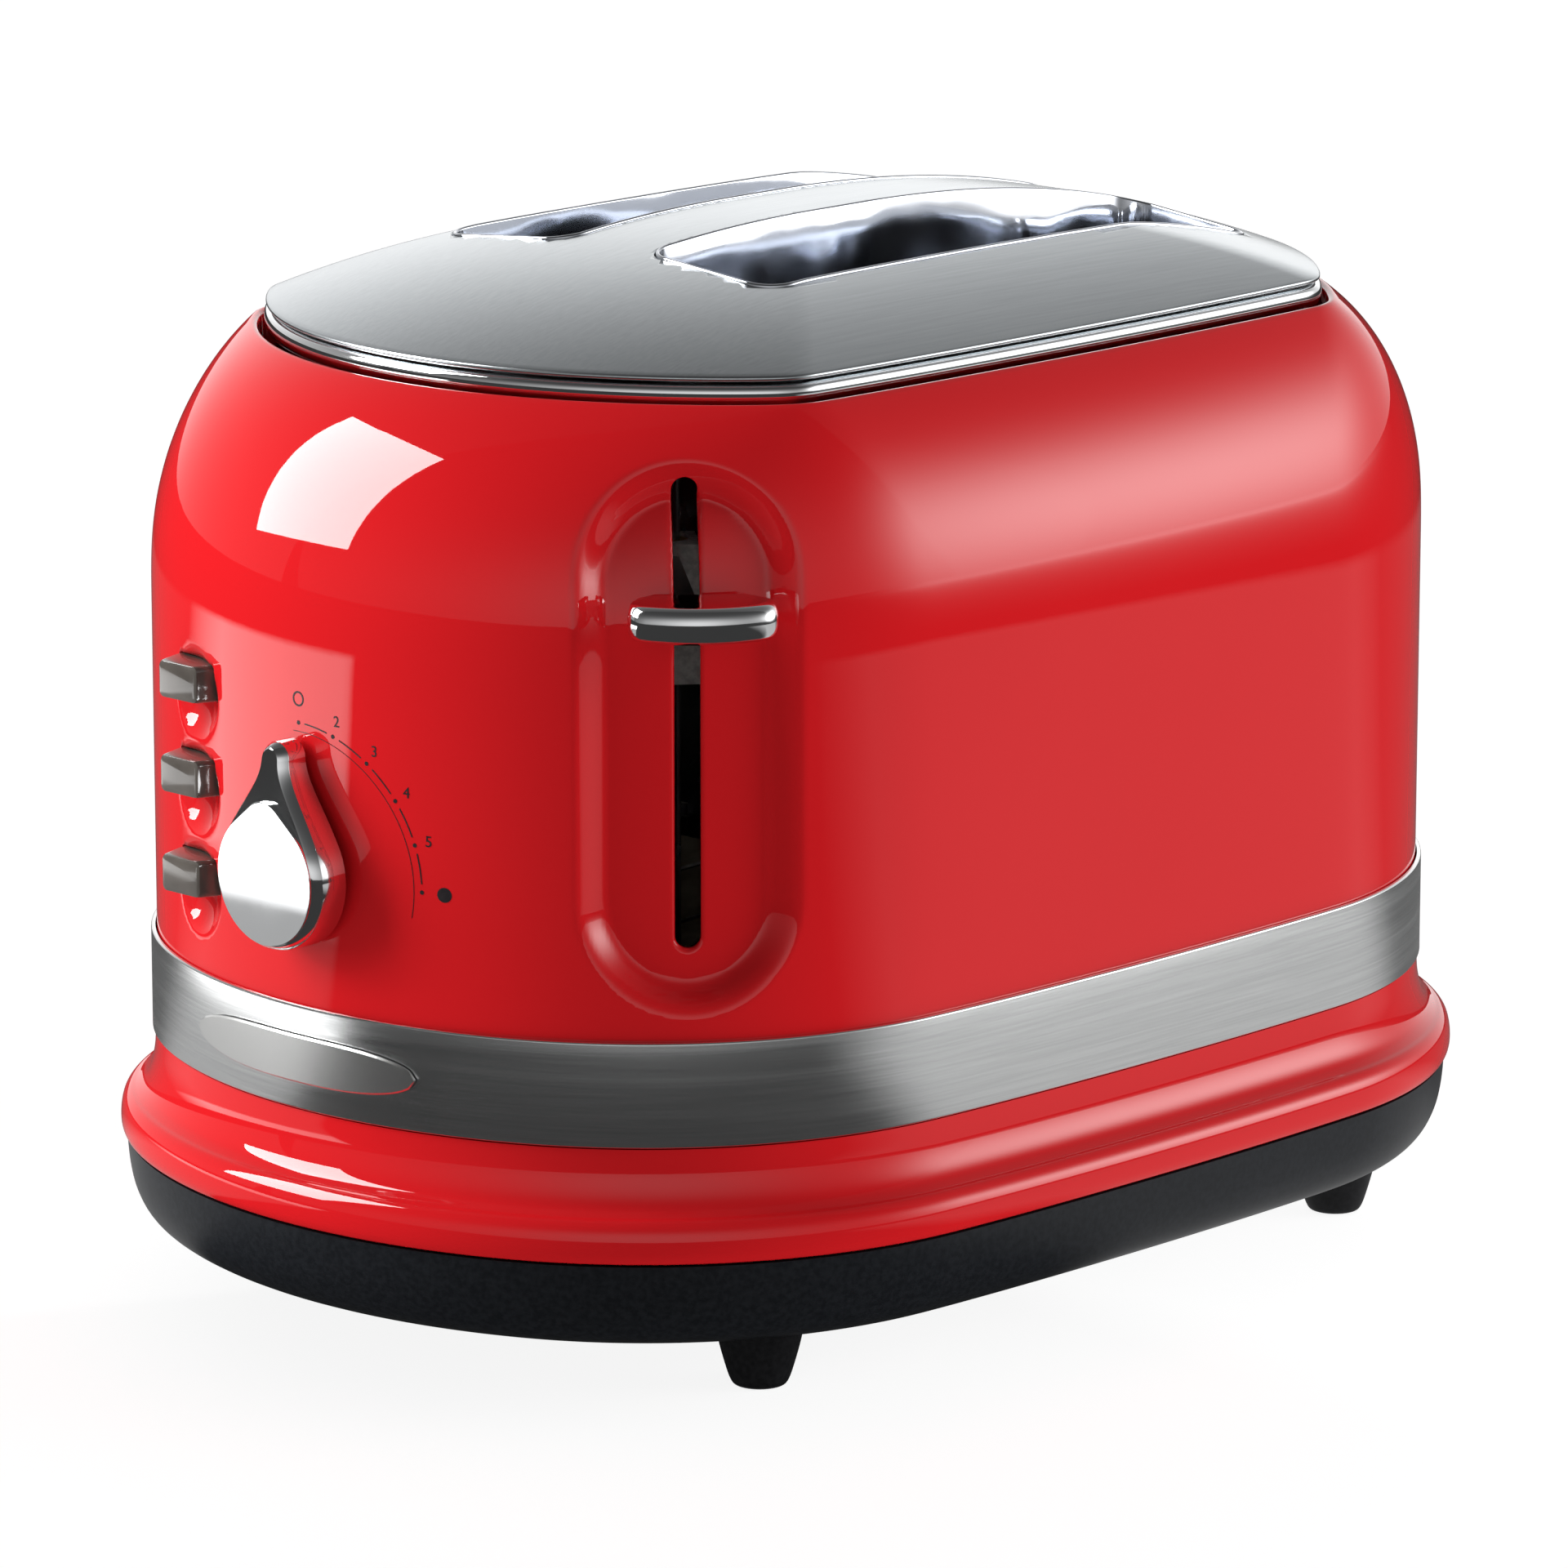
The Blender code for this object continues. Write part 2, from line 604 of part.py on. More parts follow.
def make_chassis(look):
    """Front and rear upright plates, and the floor plate with the crumb opening."""
    half = CHASSIS_HALF_WIDTH
    low = FLOOR_PLATE + CHASSIS_THICKNESS + GAP
    front = box("chassis_front", (-half, CHASSIS_FRONT, low),
                (half, CHASSIS_FRONT + CHASSIS_THICKNESS, BRACKET - GAP), look)
    for side, x in (("left", -SLOT_CENTRE_X), ("right", SLOT_CENTRE_X)):
        boolean(front, box("rack_slot_" + side, (x - 3.5, -60, 36.5), (x + 3.5, -50, 122), None))
    rear = box("chassis_rear", (-half, CHASSIS_REAR - CHASSIS_THICKNESS, low),
               (half, CHASSIS_REAR, CHASSIS_TOP), look)
    for i, x in enumerate(guard_planes()):
        for plate, tag, start, end in ((front, "front", -60, -50), (rear, "rear", 80, 95)):
            boolean(plate, cylinder(f"guard_hole_{tag}_{i}", (x, start, GUARD_PIVOT), (x, end, GUARD_PIVOT),
                                    GUARD_WIRE + GAP, None, sides=12))
    plate = [at_height(band_outline(-6.0), z) for z in (FLOOR_PLATE, FLOOR_PLATE + CHASSIS_THICKNESS)]
    floor = loft("chassis_floor", plate, look)
    opening = rounded_box(50.0, -50.0, 82.0, 5.0, side_steps=1)
    boolean(floor, prism("crumb_opening", opening, 20, 40, None))
    for tag, x, y in corners():
        boolean(floor, cylinder("floor_hole_" + tag, (x, y, 20), (x, y, 40), 3.0, None, sides=12))


def guard_planes():
    return [side * SLOT_CENTRE_X + step for side in (-1, 1) for step in (-GUARD_X, GUARD_X)]


def make_reflector(side, sign, look):
    """Outer heat shield, an upright sheet with its top lip turned in."""
    x = sign * (BOARD_X + 4)
    section = [(x, CHAMBER_BOTTOM), (x + sign * 0.8, CHAMBER_BOTTOM), (x + sign * 0.8, CHASSIS_TOP),
               (x - sign * 10, CHASSIS_TOP), (x - sign * 10, CHASSIS_TOP - 0.8), (x, CHASSIS_TOP - 0.8)]
    prism("side_reflector_" + side, section, CHASSIS_FRONT + CHASSIS_THICKNESS + GAP,
          CHASSIS_REAR - CHASSIS_THICKNESS - GAP, look, upright=True)


def make_heater(name, x, mica, ribbon):
    """Mica board with a heater ribbon wound round it."""
    front = CHASSIS_FRONT + CHASSIS_THICKNESS + GAP
    rear = CHASSIS_REAR - CHASSIS_THICKNESS - GAP
    box("heater_board_" + name, (x - 0.3, front + 4, CHAMBER_BOTTOM + 3), (x + 0.3, rear - 4, BOARD_TOP), mica)
    ribbon_front, ribbon_rear = front + 2.6, rear - 2.6
    turns = 9
    pitch = (BOARD_TOP - CHAMBER_BOTTOM - 18) / turns
    points = []
    for k in range(turns):
        z = CHAMBER_BOTTOM + 10 + k * pitch
        points += [(x - 1.1, ribbon_front, z), (x + 1.1, ribbon_front, z + pitch * 0.1),
                   (x + 1.1, ribbon_rear, z + pitch * 0.5), (x - 1.1, ribbon_rear, z + pitch * 0.6)]
    wire("heater_ribbon_" + name, points, 0.45, ribbon, resolution=0)


def make_guard(name, x, look):
    """Bread guard: one zigzag wire whose bottom ends are its pivots."""
    runs = 10
    first, last = -50.0, 81.0
    points = [(x, CHASSIS_FRONT - 0.5, GUARD_PIVOT), (x, first, GUARD_PIVOT), (x, first, GUARD_TOP)]
    for k in range(1, runs - 1):
        y = first + (last - first) * k / (runs - 1)
        ends = (GUARD_PIVOT + 3, GUARD_TOP) if k % 2 == 0 else (GUARD_TOP, GUARD_PIVOT + 3)
        points += [(x, y, z) for z in ends]
    points += [(x, last, GUARD_TOP), (x, last, GUARD_PIVOT), (x, CHASSIS_REAR + 1.5, GUARD_PIVOT)]
    wire(name, points, GUARD_WIRE, look, resolution=1)


# ---------------------------------------------------------------- carriage

def make_carriage(looks):
    """Slide block, bush, plate, racks, lever arm and knob, all moving together."""
    rod_x, rod_y = lever_point(ROD_DEPTH)
    block = lever_block("slide_block", ROD_DEPTH - 5.2, ROD_DEPTH + 7.5, 5.6, LEVER_HEIGHT - 22,
                        LEVER_HEIGHT + 4, looks["nylon"])
    boolean(block, cylinder("block_bore", (rod_x, rod_y, 80), (rod_x, rod_y, 190), 4.3, None))
    bore, low, high = ROD_RADIUS + 0.1, LEVER_HEIGHT - 21.5, LEVER_HEIGHT + 3.5
    turned("slide_bush", [(bore, low), (bore, high), (4.0, high), (4.0, low)], (rod_x, rod_y), looks["brass"])
    low, step, high = RACK_HEIGHT - 4, RACK_HEIGHT + 8, LEVER_HEIGHT - 2
    plate_outline = [(-34, low), (40, low), (40, high), (22, high), (22, step), (-34, step)]
    plate = prism("carriage_plate", plate_outline, BAR_Y, BAR_Y + 1.2, looks["sheet"], upright=True)
    for side, x in (("left", -SLOT_CENTRE_X), ("right", SLOT_CENTRE_X)):
        boolean(plate, box("rack_hole_" + side, (x - 2.4, -65, RACK_HEIGHT - 0.4),
                           (x + 2.4, -55, RACK_HEIGHT + 2.4), None))
        make_rack(side, x, looks["sheet"])
    box("latch_plate", (-16, BAR_Y - 16, LATCH_HEIGHT), (18, BAR_Y - GAP, LATCH_HEIGHT + 2), looks["sheet"])
    lever_block("lever_arm", ROD_DEPTH + 7.8, 4.0, 1.6, LEVER_HEIGHT - 2, LEVER_HEIGHT + 2, looks["sheet"])
    make_lever_knob(looks["chrome"])


def make_rack(side, x, look):
    """Bread rack: a spine with cross bars that the slice stands on."""
    bars = 8
    first, last = -46.0, 78.0
    spine, reach, half_bar = 2.0, 11.0, 1.2
    right = [(spine, BAR_Y - 2.0)]
    for k in range(bars):
        y = first + (last - first) * k / (bars - 1)
        right += [(spine, y - half_bar), (reach, y - half_bar), (reach, y + half_bar), (spine, y + half_bar)]
    right.append((spine, 82.0))
    plan = [(x + a, b) for a, b in right] + [(x - a, b) for a, b in reversed(right)]
    prism("bread_rack_" + side, plan, RACK_HEIGHT, RACK_HEIGHT + 2, look)


def make_lever_knob(look):
    """Lever bar: bowed front, cheeks that narrow towards the body, softened top and bottom edges."""
    front, back, wide, thin = 10.0, -3.6, 13.4, 9.0
    bow, edge, shift = 4.5, 0.8, 2.0
    steps = 8
    plan = [(back, -thin)]
    for k in range(steps + 1):
        share = -1 + 2 * k / steps
        plan.append((front - bow * share ** 2, wide * share))
    plan.append((back, thin))
    half = KNOB_TALL / 2
    rings = []
    for z, shrink in ((-half, edge), (edge - half, 0.0), (half - edge, 0.0), (half, edge)):
        ring = []
        for out, along in plan:
            x, y = lever_point(out - shrink if out > back else out, along * (1 - shrink / wide) + shift)
            ring.append((x, y, LEVER_HEIGHT + z))
        rings.append(ring)
    knob = loft("lever_knob", rings, look)
    boolean(knob, lever_block("lever_knob_socket", -8.0, 4.4, 1.9, LEVER_HEIGHT - 2.3, LEVER_HEIGHT + 2.3,
                              None))


def make_guide(looks):
    """Guide rod, its top bracket, and the lift spring beside it."""
    rod_x, rod_y = lever_point(ROD_DEPTH)
    cylinder("guide_rod", (rod_x, rod_y, FLOOR_PLATE + CHASSIS_THICKNESS + GAP), (rod_x, rod_y, ROD_TOP),
             ROD_RADIUS, looks["wire"])
    bracket = box("rod_bracket", (4, -80, BRACKET), (44, -56, BRACKET + 1.5), looks["sheet"])
    boolean(bracket, cylinder("bracket_bore", (rod_x, rod_y, 160), (rod_x, rod_y, 180), ROD_RADIUS + GAP, None))
    points = []
    coils, sides, radius = 14, 8, 3.6
    low, high = LATCH_HEIGHT + 2.9, BRACKET - 0.9
    x, y = SPRING_PLACE
    steps = coils * sides
    for k in range(steps + 1):
        a = 2 * math.pi * k / sides
        points.append((x + radius * math.cos(a), y + radius * math.sin(a), low + (high - low) * k / steps))
    wire("lift_spring", points, 0.5, looks["wire"], resolution=0)


def make_magnet(looks):
    """Electromagnet that holds the carriage down: core with two poles, and its winding."""
    top = LATCH_HEIGHT - TRAVEL_DOWN - 0.6
    low = FLOOR_PLATE + CHASSIS_THICKNESS + GAP
    core = box("magnet_core", (-14, -73, low), (6, -63, top), looks["sheet"])
    boolean(core, box("magnet_gap", (-9.5, -75, low + 1.6), (1.5, -61, top + 2), None))
    box("magnet_coil", (-9.0, -72.5, low + 2.0), (1.0, -63.5, top - 1.0), looks["copper"])


# ---------------------------------------------------------------- controls

def teardrop(radius, tip, tip_radius, inset=0.0):
    """Teardrop outline in the XZ plane about the dial's axis, with its point up."""
    radius, tip, tip_radius = radius - inset, tip - inset, tip_radius - inset
    lean = math.asin((radius - tip_radius) / (tip - tip_radius))
    round_steps, tip_steps = 16, 6
    points = []
    for k in range(round_steps + 1):
        a = math.pi - lean + (math.pi + 2 * lean) * k / round_steps
        points.append((DIAL_X + radius * math.cos(a), DIAL_Z + radius * math.sin(a)))
    for k in range(tip_steps + 1):
        a = lean + (math.pi - 2 * lean) * k / tip_steps
        points.append((DIAL_X + tip_radius * math.cos(a), DIAL_Z + tip - tip_radius + tip_radius * math.sin(a)))
    return points


def make_dial(looks):
    """Browning dial: chrome teardrop knob, polished face, shaft and potentiometer."""
    rings = []
    for y, inset in ((DIAL_BACK, 0.0), (DIAL_FACE + 2.4, 0.0), (DIAL_FACE + 1.0, 1.2)):
        ring = teardrop(DIAL_RADIUS, DIAL_TIP, DIAL_TIP_RADIUS, inset)
        rings.append([(x, y, z) for x, z in ring])
    knob = loft("dial_knob", rings, looks["chrome"])
    boolean(knob, cylinder("knob_bore", (DIAL_X, DIAL_BACK + 5, DIAL_Z), (DIAL_X, DIAL_FACE + 3, DIAL_Z),
                           SHAFT_RADIUS + GAP, None))
    prism("dial_cap", teardrop(*CAP_SIZE), DIAL_FACE, DIAL_FACE + 0.7, looks["chrome"], upright=True)
    cylinder("dial_shaft", (DIAL_X, BOARD_FACE - 14, DIAL_Z), (DIAL_X, DIAL_FACE + 3.4, DIAL_Z), SHAFT_RADIUS,
             looks["sheet"])
    pot = cylinder("dial_pot", (DIAL_X, BOARD_FACE - 1.9, DIAL_Z), (DIAL_X, BOARD_FACE - 11, DIAL_Z), 8.0,
                   looks["black"])
    neck = cylinder("pot_neck", (DIAL_X, BOARD_FACE - 10, DIAL_Z), (DIAL_X, BOARD_FACE - 17.5, DIAL_Z), 4.5,
                    None)
    boolean(pot, neck, "UNION")
    boolean(pot, cylinder("pot_bore", (DIAL_X, BOARD_FACE - 13.6, DIAL_Z), (DIAL_X, BOARD_FACE - 20, DIAL_Z),
                          SHAFT_RADIUS + GAP, None))
    box("control_board", (-45, BOARD_FACE - 1.6, 72), (26, BOARD_FACE, 136), looks["board"])


def make_button(name, z, looks):
    """Push button: bevelled block on a stem, with its switch on the board behind."""
    surface = end_surface(BUTTON_X)
    front, root = surface - BUTTON_PROUD, surface + 1.0
    flange, stem_end, stem = root + 2.5, BOARD_FACE - 6.4, 2.0
    plan = [(-BUTTON_FRONT / 2, front), (BUTTON_FRONT / 2, front), (BUTTON_BASE / 2, root),
            (BUTTON_BASE / 2, flange), (stem, flange), (stem, stem_end), (-stem, stem_end), (-stem, flange),
            (-BUTTON_BASE / 2, flange), (-BUTTON_BASE / 2, root)]
    half = BUTTON_TALL / 2
    rings = []
    for level, inset in ((-half, 0.5), (-half + 0.6, 0.0), (half - 0.6, 0.0), (half, 0.5)):
        rings.append([(BUTTON_X + x, y + (inset if y < root else 0), z + level) for x, y in plan])
    loft(name, rings, looks["smoke"])
    box(name + "_switch", (BUTTON_X - 3, BOARD_FACE - 4.6, z - 3), (BUTTON_X + 3, BOARD_FACE - 1.9, z + 3),
        looks["black"])


def make_gland(look):
    """Bush for the mains lead in the rear of the shell; its bore is empty."""
    rear = BAND_LENGTH / 2 - SHELL_INSET
    collar, sides = 9.0, 24
    rings = []
    for radius, out in ((GLAND_BORE, -8.0), (GLAND_RADIUS, -8.0), (GLAND_RADIUS, 0.6), (collar, 0.6),
                        (collar, 2.4), (6.0, 6.5), (GLAND_BORE, 6.5)):
        ring = []
        for i in range(sides):
            a = 2 * math.pi * i / sides
            ring.append((radius * math.cos(a), rear + out, GLAND_Z + radius * math.sin(a)))
        rings.append(ring)
    loft("cord_gland", rings, look, tube=True)


# ---------------------------------------------------------------- assembly

def new_collection(name):
    made = bpy.data.collections.new(name)
    bpy.context.scene.collection.children.link(made)
    return made


def build_toaster():
    looks = make_materials()
    make_outer_shell(looks["red"])
    make_skirt(looks["red"])
    make_band(looks["brushed"])
    make_badge(looks["chrome"])
    make_lid(looks["satin"], looks["chrome"])
    for side, x in (("left", -SLOT_CENTRE_X), ("right", SLOT_CENTRE_X)):
        make_throat(side, x, looks["chrome"])
    make_base(looks["black"])
    make_feet(looks["rubber"], looks["wire"])
    make_tray(looks["sheet"], looks["black"])
    make_chassis(looks["sheet"])
    for side, sign in (("left", -1), ("right", 1)):
        make_reflector(side, sign, looks["sheet"])
    for name, x in (("left", -BOARD_X), ("centre", 0.0), ("right", BOARD_X)):
        make_heater(name, x, looks["mica"], looks["ribbon"])
    names = ("guard_left_outer", "guard_left_inner", "guard_right_inner", "guard_right_outer")
    for name, x in zip(names, guard_planes()):
        make_guard(name, x, looks["wire"])
    make_carriage(looks)
    make_guide(looks)
    make_magnet(looks)
    make_dial(looks)
    for name, z in BUTTON_HEIGHTS.items():
        make_button(name, z, looks)
    make_gland(looks["rubber"])


for leftover in list(bpy.data.objects):
    bpy.data.objects.remove(leftover, do_unlink=True)
TOASTER = new_collection("toaster")
CUTTERS = new_collection("cutters")
build_toaster()
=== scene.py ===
"""Looks of the two-slice pop up toaster: fine surfaces, materials, light and camera.

Lengths in the geometry sections are millimetres and become metres when a mesh is made. +Z is up, the
floor is z = 0, the control end faces -Y and the bread slots run along Y. Directions round the body are
plan angles measured from -Y towards +X.
"""
import json
import math

import bmesh
import bpy
import numpy as np
from mathutils import Matrix, Vector

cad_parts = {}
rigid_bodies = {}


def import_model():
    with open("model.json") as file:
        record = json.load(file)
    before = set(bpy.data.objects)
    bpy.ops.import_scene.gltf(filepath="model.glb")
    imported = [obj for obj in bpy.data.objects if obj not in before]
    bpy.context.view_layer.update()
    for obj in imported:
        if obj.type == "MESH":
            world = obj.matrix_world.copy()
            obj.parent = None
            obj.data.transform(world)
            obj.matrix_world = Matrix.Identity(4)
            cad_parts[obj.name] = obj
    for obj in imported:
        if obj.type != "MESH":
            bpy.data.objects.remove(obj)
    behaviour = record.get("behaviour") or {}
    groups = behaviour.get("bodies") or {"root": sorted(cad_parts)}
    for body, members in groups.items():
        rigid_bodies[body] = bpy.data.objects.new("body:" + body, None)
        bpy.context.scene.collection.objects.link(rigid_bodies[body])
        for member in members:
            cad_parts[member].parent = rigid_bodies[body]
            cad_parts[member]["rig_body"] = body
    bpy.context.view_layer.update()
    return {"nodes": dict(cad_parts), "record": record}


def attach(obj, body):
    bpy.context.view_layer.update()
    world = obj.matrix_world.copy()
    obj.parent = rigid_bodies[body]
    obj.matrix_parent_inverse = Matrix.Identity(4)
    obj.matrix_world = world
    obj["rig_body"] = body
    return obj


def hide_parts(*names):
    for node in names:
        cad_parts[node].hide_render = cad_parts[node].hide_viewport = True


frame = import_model()
NODES = frame["nodes"]
MM = 0.001

# Body outline at the steel band, and of the opening at the top of the red shell
BAND = dict(width=182.0, length=264.0, end_radius=108.0, corner_radius=78.3)
RIM = dict(width=148.0, length=216.5, end_radius=93.5, corner_radius=17.0)
SHELL_INSET = 1.1             # the band stands this far proud of the shell
SHELL_WALL = 1.6

# Heights above the floor
BASE_BOTTOM = 12.4
SEAM = 30.4
BAND_BOTTOM = 50.7
BAND_TOP = 70.2
SHELL_BOTTOM = 51.0
SHOULDER_START = 140.0
SHOULDER_RADIUS = 50.0
RIM_TOP = 182.3
SHOULDER_LEAN = math.asin((RIM_TOP - SHOULDER_START) / SHOULDER_RADIUS)
LID_EDGE = 187.2
LID_CROWN = 202.5
LID_OFFSET = -3.4             # of the lid edge from the rim outline
LID_POWER = 2.5               # how flat the crown is in the middle

# Bread slots
SLOT_WIDTH = 34.0
SLOT_FRONT = -52.5
SLOT_REAR = 83.0
SLOT_CENTRE_X = 27.0
SLOTS = {"left": -SLOT_CENTRE_X, "right": SLOT_CENTRE_X}
SLOT_CORNER = 7.0
THROAT_BOTTOM = 168.0

# Lever track
LEVER_ANGLE = math.radians(49.5)
LEVER_SURFACE = (71.5, -101.1)
LEVER_HEIGHT = 148.0
TRACK_OUTER = 20.7            # half-width where the hollow starts
TRACK_INNER = 15.2            # half-width of its flat floor
TRACK_LOW = 95.4              # centres of its two round ends
TRACK_HIGH = 154.0
TRACK_DEPTH = 5.2
LEVER_SLOT_HALF = 2.35
LEVER_SLOT_LOW = 88.35        # centres of the slot's round ends
LEVER_SLOT_HIGH = 168.65
SLOT_EDGE_ROUND = 1.0

# Browning dial
DIAL_X = 1.4
DIAL_Z = 95.2
DIAL_RADIUS = 13.5
DIAL_TIP = 25.0
DIAL_TIP_RADIUS = 3.2
DIAL_FACE = -140.0
DIAL_BACK = -132.0
SCALE_RADIUS = 27.6
SCALE_MARKS = 6
SCALE_SWEEP = 90.0
INK_DEPTH = 0.09

# Push buttons and their finger hollows
BUTTON_X = -31.7
BUTTON_HEIGHTS = {"button_cancel": 125.1, "button_reheat": 107.3, "button_defrost": 88.5}
BUTTON_FRONT = 10.0
BUTTON_BASE = 14.0
BUTTON_TALL = 7.0
DIMPLE_RADIUS = 8.5
DIMPLE_DEPTH = 3.0
DIMPLE_DROP = 3.0

GLAND_Z = 84.0
GLAND_RADIUS = 6.5
FOOT_X = 64.7
FOOT_FRONT = -76.7
FOOT_REAR = 84.7
FOOT_PLACES = [(-FOOT_X, FOOT_FRONT), (FOOT_X, FOOT_FRONT), (-FOOT_X, FOOT_REAR), (FOOT_X, FOOT_REAR)]
TRAY_RAIL = 40.0
TRAY_HALF_WIDTH = 51.0
GUARD_PIVOT_Z = 38.0
GUARD_TOP = 150.0

# Lamps: plan angle, elevation, distance, width, height, radiance and tilt, in degrees and metres
KEY = (-52.0, 31.0, 1.3, 0.66, 0.88, 15.0, 14.0)
KEY_FILL = (-50.0, 8.0, 1.3, 0.66, 0.6, 8.0, 0.0)
SIDE_FILL = (128.0, 16.0, 1.6, 1.0, 1.0, 4.6, 0.0)
# Glows of the surround: plan angle, elevation, half-width across, half-width up, peak
SURROUND = 0.05
GLOWS = [(138.0, 10.0, 19.0, 13.0, 5.4), (-140.0, 6.0, 50.0, 31.0, 1.3), (45.0, 8.0, 50.0, 20.0, 0.7)]
FLOOR_GLOW = 0.88
# Table top that only reflections see: (plan angle, brightness) stops, distances in metres
CARD_STRENGTH = 3.0
CARD_EDGE = 0.78              # where the table ends
CARD_NEAR = (0.43, 0.48)      # the left part fades in between these
CARD_NEAR_LEVEL = 0.14
CARD_FAR = (0.9, 8.0)         # the side glow carries on along the floor between these
CARD_FAR_LEVEL = 3.4
CARD_BEYOND = 0.04
CARD_LEFT = [(-76, 0.0), (-62, 0.85), (-25.5, 0.90), (-24.5, 0.0)]
CARD_RIGHT = [(-180, 0.03), (-76, 0.02), (-25, 0.0), (84, 0.0), (100, 0.15), (150, 0.15), (163, 0.03),
              (180, 0.03)]
# Camera: plan angle, elevation, distance and focal length
CAMERA = (44.1, 13.2, 1.6689, 199.2)


# ---------------------------------------------------------------- mesh helpers

def place(name, data):
    """New object in the scene for a mesh, curve, light or camera."""
    made = bpy.data.objects.new(name, data)
    bpy.context.scene.collection.objects.link(made)
    return made


def baked(piece):
    """Mesh of a piece with its curve or modifiers applied."""
    bpy.context.view_layer.update()
    return bpy.data.meshes.new_from_object(piece.evaluated_get(bpy.context.evaluated_depsgraph_get()))


def add_piece(name, mesh, look, sharp=40.0):
    mesh.shade_smooth()
    mesh.set_sharp_from_angle(angle=math.radians(sharp))
    mesh.materials.append(look)
    return place(name, mesh)


def finish_mesh(name, build, look, sharp=40.0):
    """Turn a bmesh in millimetres into a piece in metres with outward faces."""
    bmesh.ops.recalc_face_normals(build, faces=build.faces)
    bmesh.ops.scale(build, vec=(MM, MM, MM), verts=build.verts)
    mesh = bpy.data.meshes.new(name)
    build.to_mesh(mesh)
    build.free()
    return add_piece(name, mesh, look, sharp)


def grid_mesh(name, rings, look, tube=False, sharp=40.0):
    """Join closed rings of equal length. A tube closes on its first ring, other lofts get end caps."""
    points = np.asarray(rings, float)
    rows, count = points.shape[:2]
    index = np.arange(rows * count).reshape(rows, count)
    last = rows if tube else rows - 1
    lower, upper = index[np.arange(last)], index[(np.arange(last) + 1) % rows]
    quads = np.stack([lower, np.roll(lower, -1, 1), np.roll(upper, -1, 1), upper], axis=-1)
    faces = quads.reshape(-1, 4).tolist()
    if not tube:
        faces += [index[0][::-1].tolist(), index[-1].tolist()]
    mesh = bpy.data.meshes.new(name)
    mesh.from_pydata((points.reshape(-1, 3) * MM).tolist(), [], faces)
    build = bmesh.new()
    build.from_mesh(mesh)
    bmesh.ops.recalc_face_normals(build, faces=build.faces)
    build.to_mesh(mesh)
    build.free()
    return add_piece(name, mesh, look, sharp)


def cut(piece, cutters, operation="DIFFERENCE"):
    """Apply one Boolean with several cutters, which are removed afterwards."""
    for cutter in cutters:
        step = piece.modifiers.new(cutter.name, "BOOLEAN")
        step.operation = operation
        step.solver = "EXACT"
        step.object = cutter
    result = baked(piece)
    piece.modifiers.clear()
    piece.data = result
    for cutter in cutters:
        bpy.data.objects.remove(cutter)


def bar(name, start, end, radius, sides=48):
    """A round bar between two points."""
    start, end = Vector(start), Vector(end)
    build = bmesh.new()
    bmesh.ops.create_cone(build, cap_ends=True, segments=sides, radius1=radius, radius2=radius,
                          depth=(end - start).length)
    turn = Vector((0, 0, 1)).rotation_difference(end - start).to_matrix().to_4x4()
    bmesh.ops.transform(build, matrix=Matrix.Translation((start + end) / 2) @ turn, verts=build.verts)
    return finish_mesh(name, build, None)


def block(name, low, high):
    build = bmesh.new()
    bmesh.ops.create_cube(build, size=1.0)
    bmesh.ops.scale(build, vec=[h - l for l, h in zip(low, high)], verts=build.verts)
    bmesh.ops.translate(build, vec=[(h + l) / 2 for l, h in zip(low, high)], verts=build.verts)
    return finish_mesh(name, build, None)


def at_depth(outline, y):
    """Stand a flat (x, z) outline up at a depth."""
    return [(x, y, z) for x, z in outline]


def at_height(outline, z):
    """Lay a flat (x, y) outline at a height, or each of its points at its own."""
    return np.column_stack([outline, np.full(len(outline), z)])


def turned(name, profile, centre, look, sides=64, upright=True):
    """Turn a closed profile of (radius, height) points about an upright or lengthwise axis."""
    rings = []
    for radius, height in profile:
        circle = []
        for k in range(sides):
            a = 2 * math.pi * k / sides
            first, second = centre[0] + radius * math.cos(a), centre[1] + radius * math.sin(a)
            circle.append((first, second, height) if upright else (first, height, second))
        rings.append(circle)
    return grid_mesh(name, rings, look, tube=True)


def wire(name, points, radius, look, corner):
    """A bent wire along points, with each inner corner rounded to a radius."""
    path = [Vector(p) for p in points]
    smooth = [path[0]]
    for before, here, after in zip(path, path[1:], path[2:]):
        a, b = before - here, after - here
        reach = min(corner, a.length / 2.01, b.length / 2.01)
        start, end = here + a.normalized() * reach, here + b.normalized() * reach
        for k in range(5):
            s = k / 4
            smooth.append(start * (1 - s) ** 2 + here * 2 * s * (1 - s) + end * s ** 2)
    smooth.append(path[-1])
    data = bpy.data.curves.new(name, "CURVE")
    data.dimensions = "3D"
    data.bevel_depth = radius * MM
    data.bevel_resolution = 3
    data.use_fill_caps = True
    line = data.splines.new("POLY")
    line.points.add(len(smooth) - 1)
    for spot, point in zip(line.points, smooth):
        spot.co = (*(point * MM), 1.0)
    data.materials.append(look)
    return place(name, data)


def stand_for(piece, node):
    """The piece replaces a node and rides on its body."""
    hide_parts(node)
    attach(piece, NODES[node]["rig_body"])


# ---------------------------------------------------------------- outlines

def ease(t):
    """Smooth step from 0 to 1."""
    t = np.clip(t, 0.0, 1.0)
    return t * t * (3 - 2 * t)


